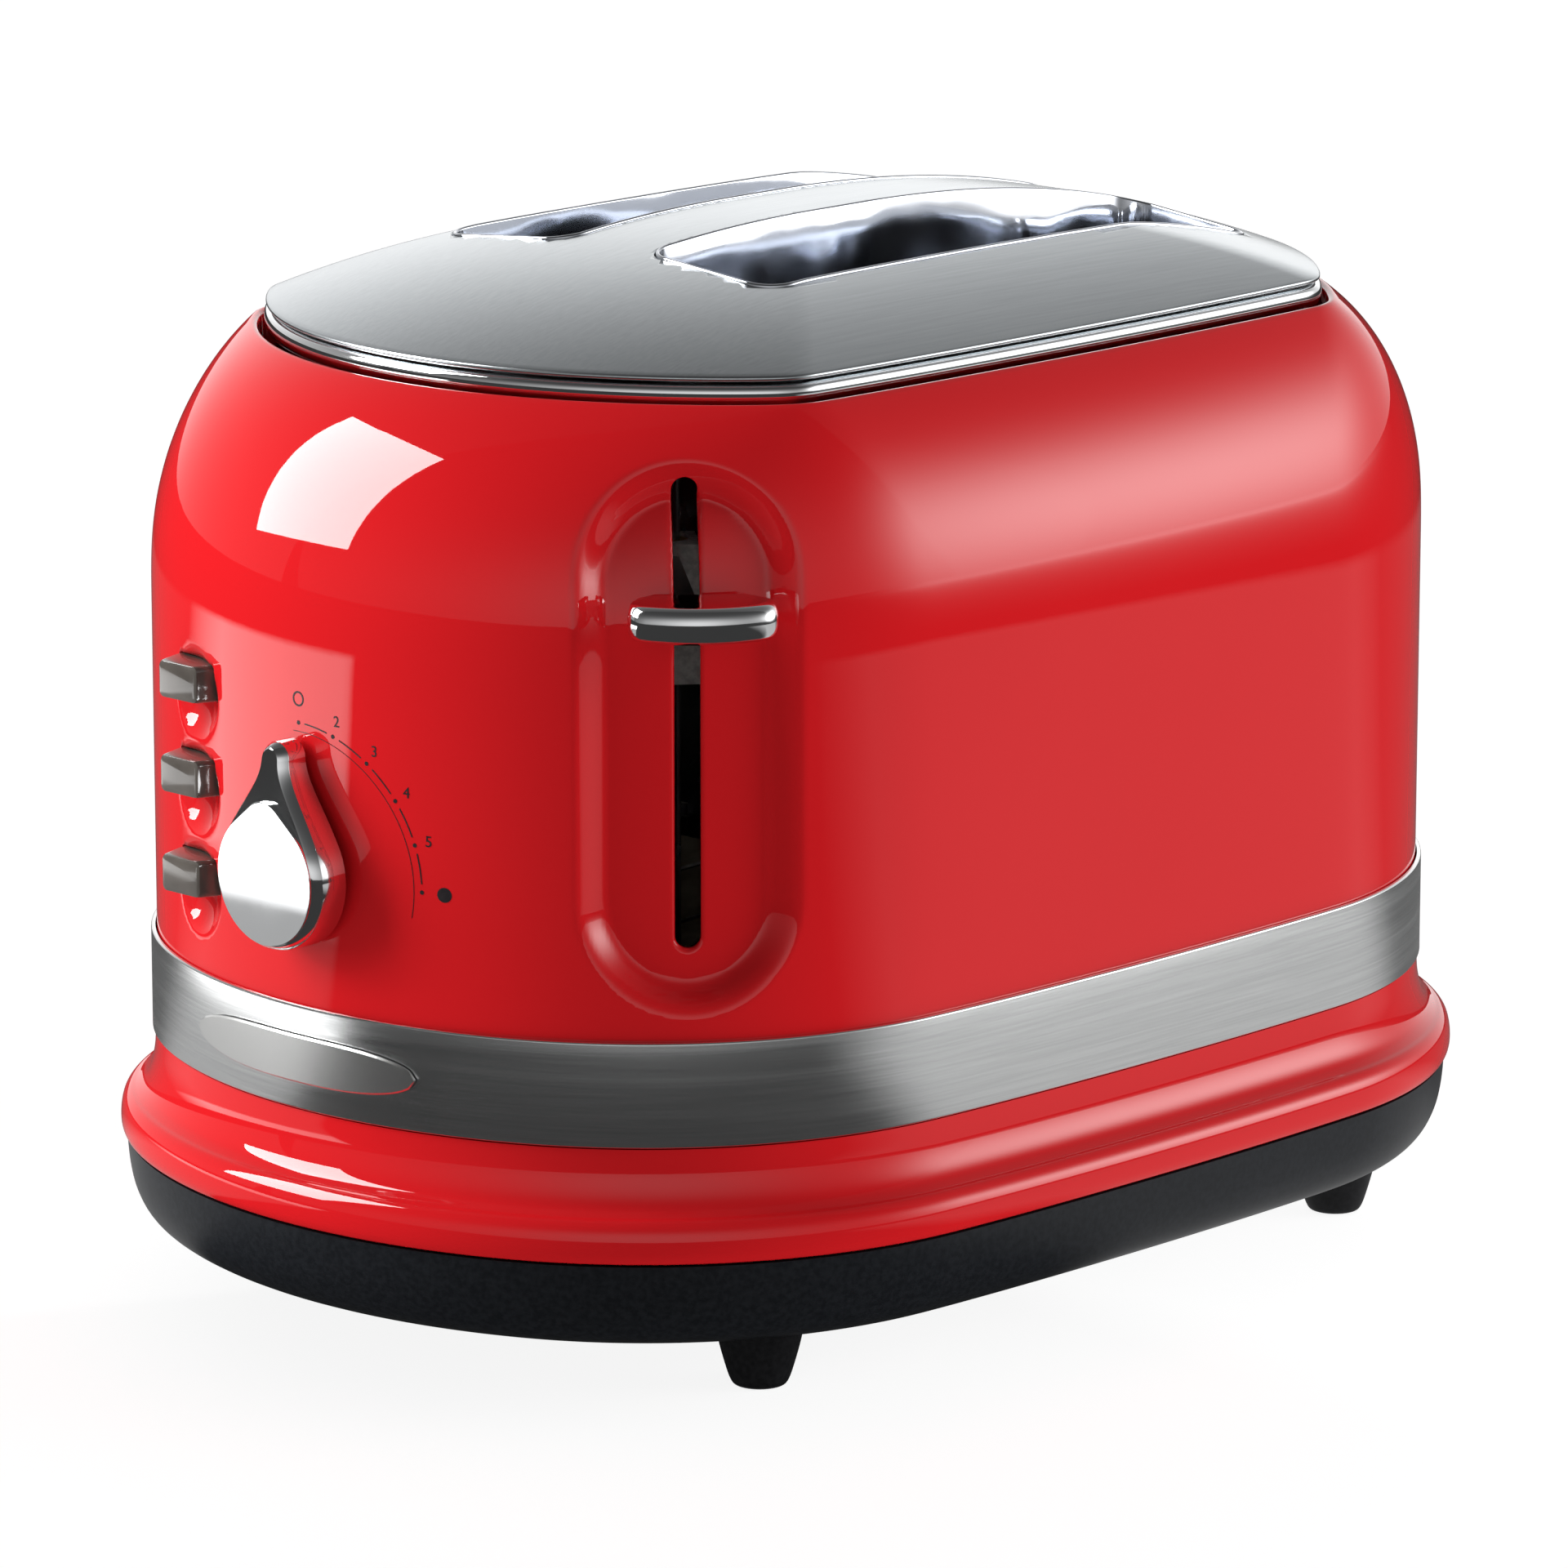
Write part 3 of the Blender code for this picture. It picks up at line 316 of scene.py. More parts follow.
def quarter_curve(width, length, end_radius, corner_radius):
    """One quarter of an outline by plan angle, with gentle changes of curvature between its arcs."""
    blend = math.radians(7)
    bulge = math.radians(5)
    corner_x = width / 2 - corner_radius
    end_y = length / 2 - end_radius
    across = math.sqrt((end_radius - corner_radius) ** 2 - corner_x ** 2)
    turn = math.atan2(corner_x, across)
    angle = np.linspace(0, math.pi / 2, 3601)
    radius = end_radius + (corner_radius - end_radius) * ease((angle - turn) / (2 * blend) + 0.5)
    side = np.clip((math.pi / 2 - angle) / bulge, 0, 1)
    radius += (end_y + across) / bulge * (1 + np.cos(math.pi * side)) * (side < 1)
    step = angle[1] - angle[0]

    def total(values):
        return np.concatenate([[0], np.cumsum((values[1:] + values[:-1]) / 2) * step])
    x = total(radius * np.cos(angle))
    y = total(radius * np.sin(angle))
    return angle, x * (width / 2 / x[-1]), length / 2 * (1 - y / y[-1])


CURVES = {"band": quarter_curve(**BAND), "rim": quarter_curve(**RIM)}


def plan(curve, angles, offset=0.0):
    """Outline points (x, y) at plan angles, grown by an offset."""
    angle, xs, ys = CURVES[curve]
    folded = np.arcsin(np.clip(np.abs(np.sin(angles)), 0, 1))
    across, along = np.sin(angles), -np.cos(angles)
    x = np.sign(across) * np.interp(folded, angle, xs) + offset * across
    y = np.sign(along) * np.interp(folded, angle, ys) + offset * along
    return np.stack([x, y], axis=-1)


def angles_by_pitch(pitch_at):
    """Plan angles right round the band outline, spaced by a pitch that depends on the place."""
    dense = np.linspace(-math.pi, math.pi, 14401)
    points = plan("band", dense)
    steps = np.linalg.norm(np.diff(points, axis=0), axis=1)
    density = np.array([1.0 / pitch_at(x, y) for x, y in (points[1:] + points[:-1]) / 2])
    count = np.concatenate([[0], np.cumsum(steps * density)])
    total = round(count[-1])
    return np.interp(np.arange(total) * count[-1] / total, count, dense)


EVEN = angles_by_pitch(lambda x, y: 1.8)


def ring(curve, offset, z, angles=None):
    return at_height(plan(curve, EVEN if angles is None else angles, offset), z)


def loft(name, profile, look, curve="band", tube=True):
    """Sweep a profile of (offset, height) points round the body."""
    return grid_mesh(name, [ring(curve, offset, z) for offset, z in profile], LOOKS[look], tube=tube)


def rounded_box(half_x, low_y, high_y, radius, centre_x=0.0, side_steps=40, corner_steps=8):
    """Outline of a rounded rectangle with its long sides divided, anticlockwise."""
    corners = [(half_x, low_y, -90), (half_x, high_y, 0), (-half_x, high_y, 90), (-half_x, low_y, 180)]
    points = []
    for x, y, start in corners:
        cx = x - math.copysign(radius, x)
        cy = y - math.copysign(radius, y - (low_y + high_y) / 2)
        for k in range(corner_steps + 1):
            a = math.radians(start + 90 * k / corner_steps)
            points.append((centre_x + cx + radius * math.cos(a), cy + radius * math.sin(a)))
        if start in (-90, 90):
            end_y = (high_y - radius) if start == -90 else (low_y + radius)
            begin_y = points[-1][1]
            for k in range(1, side_steps):
                points.append((centre_x + x, begin_y + (end_y - begin_y) * k / side_steps))
    return np.array(points)


def lid_share(x, y):
    """How far out a plan point lies, as a share of the way to the lid edge."""
    angles = np.radians(np.linspace(0, 90, 91))
    edge = plan("rim", angles, LID_OFFSET)
    normal = np.stack([np.sin(angles), -np.cos(angles)], axis=-1)
    reach = (edge * normal).sum(axis=1)
    return max((abs(x) * normal[:, 0] - abs(y) * normal[:, 1]) / reach)


def crown(share):
    """Height of the lid at a share of the way to its edge."""
    return LID_EDGE + (LID_CROWN - LID_EDGE) * (1 - np.minimum(share, 1.0) ** LID_POWER)


def end_surface(x):
    """Y of the shell surface at the control end."""
    angles = np.radians(np.linspace(-40, 40, 801))
    points = plan("band", angles, -SHELL_INSET)
    return np.interp(x, points[:, 0], points[:, 1])


def lever_point(out, along=0.0):
    """Plan position a distance outside the lever track's surface point, and along the surface."""
    nx, ny = math.sin(LEVER_ANGLE), -math.cos(LEVER_ANGLE)
    return (LEVER_SURFACE[0] + nx * out - ny * along, LEVER_SURFACE[1] + ny * out + nx * along)


def lever_frame(x, y):
    """Distances of a plan position along the surface at the lever track, and out from it."""
    nx, ny = math.sin(LEVER_ANGLE), -math.cos(LEVER_ANGLE)
    dx, dy = x - LEVER_SURFACE[0], y - LEVER_SURFACE[1]
    return dx * -ny + dy * nx, dx * nx + dy * ny


# ---------------------------------------------------------------- materials

def principled(name, colour, roughness, metallic=0.0, coat=0.0, coat_roughness=0.03):
    made = bpy.data.materials.new(name)
    made.use_nodes = True
    shader = made.node_tree.nodes["Principled BSDF"]
    values = {"Base Color": (*colour, 1.0), "Roughness": roughness, "Metallic": metallic,
              "Coat Weight": coat, "Coat Roughness": coat_roughness, "IOR": 1.5}
    for socket, value in values.items():
        shader.inputs[socket].default_value = value
    return made, made.node_tree, shader


def add_node(tree, kind, values=None, links=None):
    """New shader node with values and incoming links by the names of its inputs."""
    node = tree.nodes.new("ShaderNode" + kind)
    for name, value in (values or {}).items():
        node.inputs[name].default_value = value
    for name, socket in (links or {}).items():
        tree.links.new(socket, node.inputs[name])
    return node


def noise(tree, scale, detail=2.0, stretch=(1, 1, 1), distortion=0.0):
    """Noise over the object's own coordinates; returns its value socket."""
    coordinates = add_node(tree, "TexCoord").outputs["Object"]
    mapped = add_node(tree, "Mapping", {"Scale": stretch}, {"Vector": coordinates}).outputs["Vector"]
    values = {"Scale": scale, "Detail": detail, "Distortion": distortion}
    return add_node(tree, "TexNoise", values, {"Vector": mapped}).outputs["Fac"]


def ramp(tree, socket, stops):
    """Colour ramp from (position, colour) stops; returns its colour socket."""
    node = add_node(tree, "ValToRGB", links={"Fac": socket})
    elements = node.color_ramp.elements
    while len(elements) < len(stops):
        elements.new(0.5)
    for element, (position, colour) in zip(elements, stops):
        element.position = position
        element.color = (*colour, 1.0)
    return node.outputs["Color"]


def map_range(tree, socket, start, end, low=0.0, high=1.0):
    """Map a value from one range to another; returns the result socket."""
    values = {"From Min": start, "From Max": end, "To Min": low, "To Max": high}
    return add_node(tree, "MapRange", values, {"Value": socket}).outputs["Result"]


def tint(tree, shader, tone, dark, light, low=0.3, high=0.7):
    """Let a noise value choose the base colour between two colours."""
    tree.links.new(ramp(tree, tone, [(low, dark), (high, light)]), shader.inputs["Base Color"])


def roughen(tree, shader, tone, low, high):
    """Let a noise value choose the roughness between two values."""
    tree.links.new(map_range(tree, tone, 0.3, 0.7, low, high), shader.inputs["Roughness"])


def node_math(tree, operation, *values):
    """A Math node fed with sockets or numbers; returns its value socket."""
    node = add_node(tree, "Math")
    node.operation = operation
    for socket, value in zip(node.inputs, values):
        if isinstance(value, (int, float)):
            socket.default_value = value
        else:
            tree.links.new(value, socket)
    return node.outputs["Value"]


def bump(tree, shader, socket, depth_mm, strength=1.0, coat=False):
    node = add_node(tree, "Bump", {"Distance": depth_mm * MM, "Strength": strength}, {"Height": socket})
    for name in ("Normal", "Coat Normal") if coat else ("Normal",):
        tree.links.new(node.outputs["Normal"], shader.inputs[name])


def red_enamel():
    """High gloss red enamel with a faint orange peel."""
    made, tree, shader = principled("red_paint", (0.50, 0.008, 0.011), 0.30, coat=1.0, coat_roughness=0.02)
    shader.inputs["Specular IOR Level"].default_value = 0.0
    tint(tree, shader, noise(tree, 9.0), (0.49, 0.007, 0.010), (0.51, 0.009, 0.012))
    bump(tree, shader, noise(tree, 420.0, 1.0), 0.006, 0.25, coat=True)
    return made


def brushed_band():
    """Stainless band brushed round the body: fine level streaks."""
    made, tree, shader = principled("brushed_band", (0.84, 0.85, 0.85), 0.22, 1.0)
    fine = noise(tree, 40.0, 4.0, (1, 1, 60))
    tint(tree, shader, fine, (0.76, 0.77, 0.77), (0.90, 0.91, 0.91), 0.25, 0.75)
    roughen(tree, shader, noise(tree, 9.0, 3.0, (1, 1, 40)), 0.19, 0.27)
    bump(tree, shader, fine, 0.02, 0.16)
    return made


def satin_lid():
    """Satin steel of the lid, very finely brushed along its length."""
    made, tree, shader = principled("satin_lid", (0.56, 0.59, 0.61), 0.22, 1.0)
    fine = noise(tree, 300.0, 3.0, (6, 0.15, 6))
    tint(tree, shader, fine, (0.54, 0.57, 0.59), (0.59, 0.62, 0.64))
    roughen(tree, shader, noise(tree, 14.0, 3.0), 0.20, 0.25)
    bump(tree, shader, fine, 0.002, 0.05)
    return made


def polished(name, colour=(0.88, 0.89, 0.90), low=0.03, high=0.09, waves=0.0, wave_scale=30.0):
    """Bright metal with faint wipe marks, and slow waves on pressed sheet."""
    made, tree, shader = principled(name, colour, low, 1.0)
    roughen(tree, shader, noise(tree, 60.0, 4.0), low, high)
    if waves:
        bump(tree, shader, noise(tree, wave_scale, 1.5), waves)
    return made


def moulded(name, colour, roughness, grain_mm=0.02, shine=0.5):
    """Moulded plastic or rubber with a fine spark-eroded grain."""
    made, tree, shader = principled(name, colour, roughness)
    shader.inputs["Specular IOR Level"].default_value = shine
    grain = noise(tree, 900.0)
    roughen(tree, shader, noise(tree, 25.0, 3.0), roughness - 0.05, roughness + 0.06)
    tint(tree, shader, grain, colour, tuple(min(1.0, c * 1.35 + 0.002) for c in colour), 0.35, 0.65)
    bump(tree, shader, grain, grain_mm, 0.5)
    return made


def smoked_plastic():
    """Glossy smoky grey plastic of the buttons."""
    made, tree, shader = principled("smoked_plastic", (0.07, 0.06, 0.054), 0.14, coat=0.6)
    tint(tree, shader, noise(tree, 120.0), (0.055, 0.048, 0.042), (0.09, 0.08, 0.07))
    return made


def plated_sheet():
    """Zinc plated sheet with a soft crystal pattern."""
    made, tree, shader = principled("plated_sheet", (0.66, 0.67, 0.68), 0.32, 1.0)
    tone = noise(tree, 70.0, 3.0)
    tint(tree, shader, tone, (0.36, 0.37, 0.38), (0.50, 0.51, 0.52))
    roughen(tree, shader, tone, 0.24, 0.42)
    bump(tree, shader, noise(tree, 14.0, 1.0), 0.3, 0.3)
    return made


def layered(name, dark, light, roughness, scale, stretch=(1, 1, 1), metallic=0.0, depth=0.02):
    """Two-tone material with a matching relief, for mica, laminate, windings and alloy."""
    made, tree, shader = principled(name, dark, roughness, metallic)
    tone = noise(tree, scale, 4.0, stretch, 0.3)
    tint(tree, shader, tone, dark, light)
    roughen(tree, shader, tone, roughness - 0.06, roughness + 0.06)
    bump(tree, shader, tone, depth, 0.5)
    return made


def marking_ink():
    made, tree, shader = principled("marking_ink", (0.012, 0.010, 0.012), 0.35)
    tint(tree, shader, noise(tree, 600.0), (0.010, 0.008, 0.010), (0.02, 0.016, 0.018))
    return made


def make_looks():
    return {
        "red_paint": red_enamel(),
        "brushed_band": brushed_band(),
        "satin_lid": satin_lid(),
        "chrome": polished("chrome"),
        "throat": polished("throat_steel", (0.56, 0.58, 0.62), 0.06, 0.14, waves=2.4, wave_scale=28.0),
        "badge": polished("badge_steel", (0.86, 0.86, 0.85), 0.25, 0.27),
        "black_plastic": moulded("black_plastic", (0.005, 0.006, 0.008), 0.34, shine=0.28),
        "foot_rubber": moulded("foot_rubber", (0.004, 0.004, 0.005), 0.55, shine=0.2),
        "smoked_plastic": smoked_plastic(),
        "plated_sheet": plated_sheet(),
        "steel_wire": polished("steel_wire", (0.70, 0.70, 0.70), 0.18, 0.30),
        "mica": layered("mica", (0.42, 0.35, 0.26), (0.66, 0.58, 0.46), 0.62, 90.0, (1, 1, 3)),
        "heater_alloy": layered("heater_alloy", (0.20, 0.18, 0.16), (0.36, 0.33, 0.31), 0.40, 200.0,
                                metallic=1.0),
        "circuit_board": layered("circuit_board", (0.02, 0.12, 0.05), (0.04, 0.20, 0.08), 0.40, 160.0),
        "copper": layered("copper", (0.60, 0.24, 0.10), (0.80, 0.38, 0.18), 0.35, 60.0, (1, 1, 30), 1.0,
                          depth=0.1),
        "nylon": moulded("nylon", (0.72, 0.71, 0.67), 0.45, 0.01),
        "bush_brass": layered("bush_brass", (0.66, 0.46, 0.18), (0.78, 0.58, 0.28), 0.28, 50.0,
                              (1, 1, 40), 1.0),
        "ink": marking_ink(),
    }


LOOKS = make_looks()


def finish_cad_nodes():
    """Every CAD node takes the material of its slot."""
    for part in frame["record"]["subparts"]:
        materials = NODES[part["node"]].data.materials
        materials.clear()
        materials.append(LOOKS[part["material_slot"]])


# ---------------------------------------------------------------- red shell

def shell_profile():
    """(height, inward share) up the shell: straight wall, an easing into the shoulder arc, then the arc."""
    soft = 9.0
    length = SHOULDER_RADIUS * SHOULDER_LEAN
    s = np.linspace(-(SHOULDER_START - SHELL_BOTTOM), length, 4001)
    step = s[1] - s[0]
    lean = np.cumsum(ease((s + soft) / (2 * soft)) / SHOULDER_RADIUS) * step
    z = np.cumsum(np.cos(lean)) * step
    inward = np.cumsum(np.sin(lean)) * step
    z = SHELL_BOTTOM + (z - z[0]) * (RIM_TOP - SHELL_BOTTOM) / (z[-1] - z[0])
    return z, inward / inward[-1]


def row_levels():
    """Heights of the shell rows: closer where the lever slot ends and up the shoulder."""
    z, share = shell_profile()
    s = np.concatenate([[0], np.cumsum(np.hypot(np.diff(z), 23 * np.diff(share)))])
    ends = (LEVER_SLOT_LOW - LEVER_SLOT_HALF, LEVER_SLOT_HIGH + LEVER_SLOT_HALF)
    near = np.min([np.abs(z - end) for end in ends], axis=0)
    pitch = np.where(near < 4.5, 0.4, 1.1)
    pitch = np.where(z < SHELL_BOTTOM + 2, 0.5, pitch)
    count = np.concatenate([[0], np.cumsum(np.diff(s) / pitch[1:])])
    at = np.interp(np.linspace(0, count[-1], round(count[-1]) + 1), count, s)
    return np.interp(at, s, z), np.interp(at, s, share)


def shell_pitch(x, y):
    """Column spacing round the shell: fine at the lever slot, its track and the finger hollows."""
    along, out = lever_frame(x, y)
    if out > -40 and abs(along) < 4.5:
        return 0.4
    if out > -40 and abs(along) < 25:
        return 0.8
    if y < 0 and abs(x - BUTTON_X) < 11:
        return 0.6
    return 2.0


def track_depth(along, z):
    """Depth of the pressed lever track, with the rounded edge of its slot."""
    off_end = z - np.clip(z, TRACK_LOW, TRACK_HIGH)
    away = np.hypot(along, off_end)
    depth = TRACK_DEPTH * ease((TRACK_OUTER - away) / (TRACK_OUTER - TRACK_INNER))
    off_slot = z - np.clip(z, LEVER_SLOT_LOW, LEVER_SLOT_HIGH)
    gap = np.clip(np.hypot(along, off_slot) - LEVER_SLOT_HALF, 0, SLOT_EDGE_ROUND)
    lip = SLOT_EDGE_ROUND - np.sqrt(SLOT_EDGE_ROUND ** 2 - (SLOT_EDGE_ROUND - gap) ** 2)
    return depth + lip


def dimple_depth(x, z):
    """Depth of the finger hollows, each part of a sphere with a softened edge."""
    sphere = (DIMPLE_RADIUS ** 2 + DIMPLE_DEPTH ** 2) / (2 * DIMPLE_DEPTH)
    soft = 0.25
    depth = np.zeros_like(x)
    for height in BUTTON_HEIGHTS.values():
        away = np.hypot(x - BUTTON_X, z - (height - DIMPLE_DROP))
        raw = np.sqrt(np.maximum(sphere ** 2 - away ** 2, 0)) - (sphere - DIMPLE_DEPTH)
        raw = np.where(away < sphere, raw, -sphere)
        depth += (raw + np.sqrt(raw ** 2 + soft ** 2)) / 2 * (away < DIMPLE_RADIUS + 4)
    return depth


def pressed_depth(x, y, z):
    """How far the shell is pressed in by the lever track and the finger hollows."""
    along, out = lever_frame(x, y)
    at_track = (out > -45) & (np.abs(along) < 30)
    return np.where(at_track, track_depth(along, z), 0) + np.where(y < -60, dimple_depth(x, z), 0)


def rolled_edge(angles):
    """Rings of the shell's upper edge, rolled over and turned down inside."""
    roll, hem_wall = 1.0, 0.8
    rings = []
    for k in range(1, 9):
        a = SHOULDER_LEAN + (math.pi - SHOULDER_LEAN) * k / 8
        rings.append(ring("rim", -roll * math.cos(SHOULDER_LEAN) + roll * math.cos(a),
                          RIM_TOP - roll * math.sin(SHOULDER_LEAN) + roll * math.sin(a), angles))
    hem = -roll * (1 + math.cos(SHOULDER_LEAN))
    return rings + [ring("rim", offset, RIM_TOP - 7.0, angles) for offset in (hem, hem - hem_wall)]


def make_shell():
    """Red shell with its pressed track, finger hollows, openings and rolled upper edge."""
    angles = angles_by_pitch(shell_pitch)
    levels, shares = row_levels()
    low, high = plan("band", angles, -SHELL_INSET), plan("rim", angles)
    flat = low[None] * (1 - shares)[:, None, None] + high[None] * shares[:, None, None]
    base = np.dstack([flat, np.repeat(levels[:, None], len(angles), axis=1)])
    normal = np.cross(np.roll(base, -1, 1) - np.roll(base, 1, 1), np.gradient(base, axis=0))
    normal /= np.linalg.norm(normal, axis=2, keepdims=True)
    press = pressed_depth(*np.moveaxis(base, 2, 0))[..., None]
    outer, inner = base - normal * press, base - normal * (press + SHELL_WALL)
    keep = levels < RIM_TOP - 9.0
    rings = np.concatenate([outer, rolled_edge(angles), inner[keep][::-1]])
    shell = grid_mesh("shell_body", rings, LOOKS["red_paint"], tube=True, sharp=50)

    cutters = [stadium_cutter(), bar("dial_hole", (DIAL_X, -145, DIAL_Z), (DIAL_X, -120, DIAL_Z), 5.0),
               bar("gland_hole", (0, 118, GLAND_Z), (0, 142, GLAND_Z), GLAND_RADIUS + 0.3)]
    half, tall = BUTTON_BASE / 2 + 0.3, BUTTON_TALL / 2 + 0.3
    for name, z in BUTTON_HEIGHTS.items():
        hole = rounded_box(half, z - tall, z + tall, 1.0, BUTTON_X, side_steps=2, corner_steps=5)
        cutters.append(grid_mesh(name + "_hole", [at_depth(hole, y) for y in (-142, -114)], None))
    cut(shell, cutters)
    stand_for(shell, "outer_shell")


def stadium_cutter():
    """Round-ended bar that cuts the lever slot."""
    rings = []
    for out in (-36.0, 14.0):
        one = []
        for centre, start in ((LEVER_SLOT_HIGH, 0), (LEVER_SLOT_LOW, 180)):
            for k in range(17):
                a = math.radians(start + 180 * k / 16)
                x, y = lever_point(out, LEVER_SLOT_HALF * math.cos(a))
                one.append((x, y, centre + LEVER_SLOT_HALF * math.sin(a)))
        rings.append(one)
    return grid_mesh("lever_slot", rings, None)


# ---------------------------------------------------------------- band, skirt, base

def arc_points(centre, radius, start, end, steps):
    """Points on an arc, with its angles in degrees from the first axis."""
    angles = [math.radians(start + (end - start) * k / steps) for k in range(steps + 1)]
    return [(centre[0] + radius * math.cos(a), centre[1] + radius * math.sin(a)) for a in angles]


def smooth_line(points, steps=8):
    """Catmull-Rom line through profile points."""
    p = [np.array(q, float) for q in points]
    p = [2 * p[0] - p[1]] + p + [2 * p[-1] - p[-2]]
    out = []
    for a, b, c, d in zip(p, p[1:], p[2:], p[3:]):
        for k in range(steps):
            t = k / steps
            out.append(tuple(0.5 * (2 * b + (c - a) * t + (2 * a - 5 * b + 4 * c - d) * t ** 2
                                    + (3 * b - a - 3 * c + d) * t ** 3)))
    out.append(tuple(p[-2]))
    return out


def make_band():
    edge, inside = 0.4, -SHELL_INSET + 0.3
    outer = arc_points((-edge, BAND_BOTTOM + edge), edge, -90, 0, 4)
    outer += arc_points((-edge, BAND_TOP - edge), edge, 0, 90, 4)
    band = loft("band_strip", outer + [(inside, BAND_TOP), (inside, BAND_BOTTOM)], "brushed_band")
    stand_for(band, "steel_band")


def make_badge():
    """Plain lozenge plate that follows the band round the control end."""
    middle = (BAND_TOP + BAND_BOTTOM) / 2
    reach, tall, thick, edge, root = 15.5, 4.3, 1.1, 0.35, 0.3
    steps = 48
    rings = []
    for k in range(steps + 1):
        share = -1 + 2 * k / steps
        angle = math.radians(reach * share)
        half = tall * (1 - abs(share) ** 3.2) ** 0.5 + 0.15
        lip = min(edge, half * 0.8)
        section = [(root, -half), (thick - lip, -half), (thick, -half + lip), (thick, half - lip),
                   (thick - lip, half), (root, half)]
        x, y = plan("band", np.array([angle]))[0]
        rings.append([(x + out * math.sin(angle), y - out * math.cos(angle), middle + side)
                      for out, side in section])
    badge = grid_mesh("badge_lozenge", rings, LOOKS["badge"], sharp=30)
    stand_for(badge, "badge_plate")


def make_skirt():
    """Lower moulding: straight wall, cove, rounded bead and a turned-in foot."""
    top = BAND_BOTTOM - 0.3
    outer = smooth_line([(-0.6, top), (-0.3, 46.0), (0.5, 42.5), (1.6, 40.2), (3.2, 38.9), (4.6, 38.2),
                         (5.7, 36.8), (6.2, 34.6), (6.2, 32.4), (5.7, 31.0), (4.9, 30.5)], 6)
    inner = [(3.4, 30.5), (3.6, 34.0), (2.6, 36.2), (-0.4, 38.2), (-2.2, 42.0), (-2.2, top)]
    stand_for(loft("skirt_moulding", outer + inner, "red_paint"), "lower_skirt")


def make_base():
    """Black base dish with rounded lower edge, screw posts, tray rails and the tray opening."""
    outer = smooth_line([(-14.0, BASE_BOTTOM), (-8.5, 12.5), (-4.0, 13.2), (-0.2, 14.9), (2.2, 17.3),
                         (3.8, 20.6), (4.6, 24.0), (5.0, 27.5), (5.1, SEAM - 0.3)], 4)
    inner = [(3.1, SEAM - 0.3), (2.6, 24.0), (0.6, 19.0), (-2.5, 15.8), (-8.0, 14.4), (-14.0, 14.4)]
    base = loft("base_dish", outer + inner, "black_plastic", tube=False)
    added = [bar("post", (x, y, BASE_BOTTOM + 1), (x, y, SEAM), 5.5) for x, y in FOOT_PLACES]
    for x in (-TRAY_RAIL, TRAY_RAIL):
        added.append(block("rail", (x - 1.5, -60, BASE_BOTTOM + 1), (x + 1.5, 94, 18.9)))
    cut(base, added, "UNION")
    removed = [bar("bore", (x, y, 10), (x, y, 40), 2.3, 24) for x, y in FOOT_PLACES]
    removed.append(block("tray_opening", (-TRAY_HALF_WIDTH - 2, 96, 18.5), (TRAY_HALF_WIDTH + 2, 150, 27.4)))
    cut(base, removed)
    stand_for(base, "base_pan")


def make_feet():
    """Tapered feet with a rounded tread and a collar where they meet the base."""
    top = BASE_BOTTOM - 0.3
    side = smooth_line([(4.3, 0.0), (4.9, 0.25), (5.5, 1.2), (6.2, 3.2), (7.4, 7.5), (8.4, top)], 4)
    profile = [(2.4, 5.0), (3.2, 5.0), (3.2, 0.2), (3.5, 0.0)] + side + [(2.4, top)]
    for tag, spot in zip(("front_left", "front_right", "rear_left", "rear_right"), FOOT_PLACES):
        foot = turned("foot_pad_" + tag, profile, spot, LOOKS["foot_rubber"])
        stand_for(foot, "foot_" + tag)


# ---------------------------------------------------------------- lid, trim and throats

def make_lid():
    """Crowned lid with two bread slots and an edge turned down over the trim."""
    edge = plan("rim", EVEN, LID_OFFSET)
    shares = np.concatenate([np.linspace(0.02, 0.9, 34), np.linspace(0.92, 1.0, 9)])
    top = [at_height(edge * share, crown(share)) for share in shares]
    curl = [ring("rim", LID_OFFSET + out, LID_EDGE + rise) for out, rise in
            ((0.25, -0.15), (0.42, -0.42), (0.42, -0.75), (0.25, -1.0), (-0.2, -1.1), (-1.6, -1.05))]
    under = [at_height(edge * share, crown(share) - 1.2) for share in shares[:-2:4][::-1] * 0.985]
    lid = grid_mesh("lid_panel", top + curl + under, LOOKS["satin_lid"], sharp=45)
    cutters = []
    for side, x in SLOTS.items():
        opening = rounded_box(SLOT_WIDTH / 2, SLOT_FRONT, SLOT_REAR, SLOT_CORNER, x)
        cutters.append(grid_mesh("slot_" + side, [at_height(opening, z) for z in (150, 215)], None))
    cut(lid, cutters)
    stand_for(lid, "top_lid")


def make_trim():
    """Polished rolled bead under the lid edge."""
    outer = smooth_line([(-4.8, 180.6), (-3.6, 181.1), (-2.85, 182.4), (-2.6, 183.9), (-2.95, 185.0),
                         (-3.9, 185.6)], 6)
    inner = [(-6.6, 185.6), (-6.6, 180.8), (-5.4, 180.6)]
    stand_for(loft("trim_bead", outer + inner, "chrome", "rim"), "lid_trim")


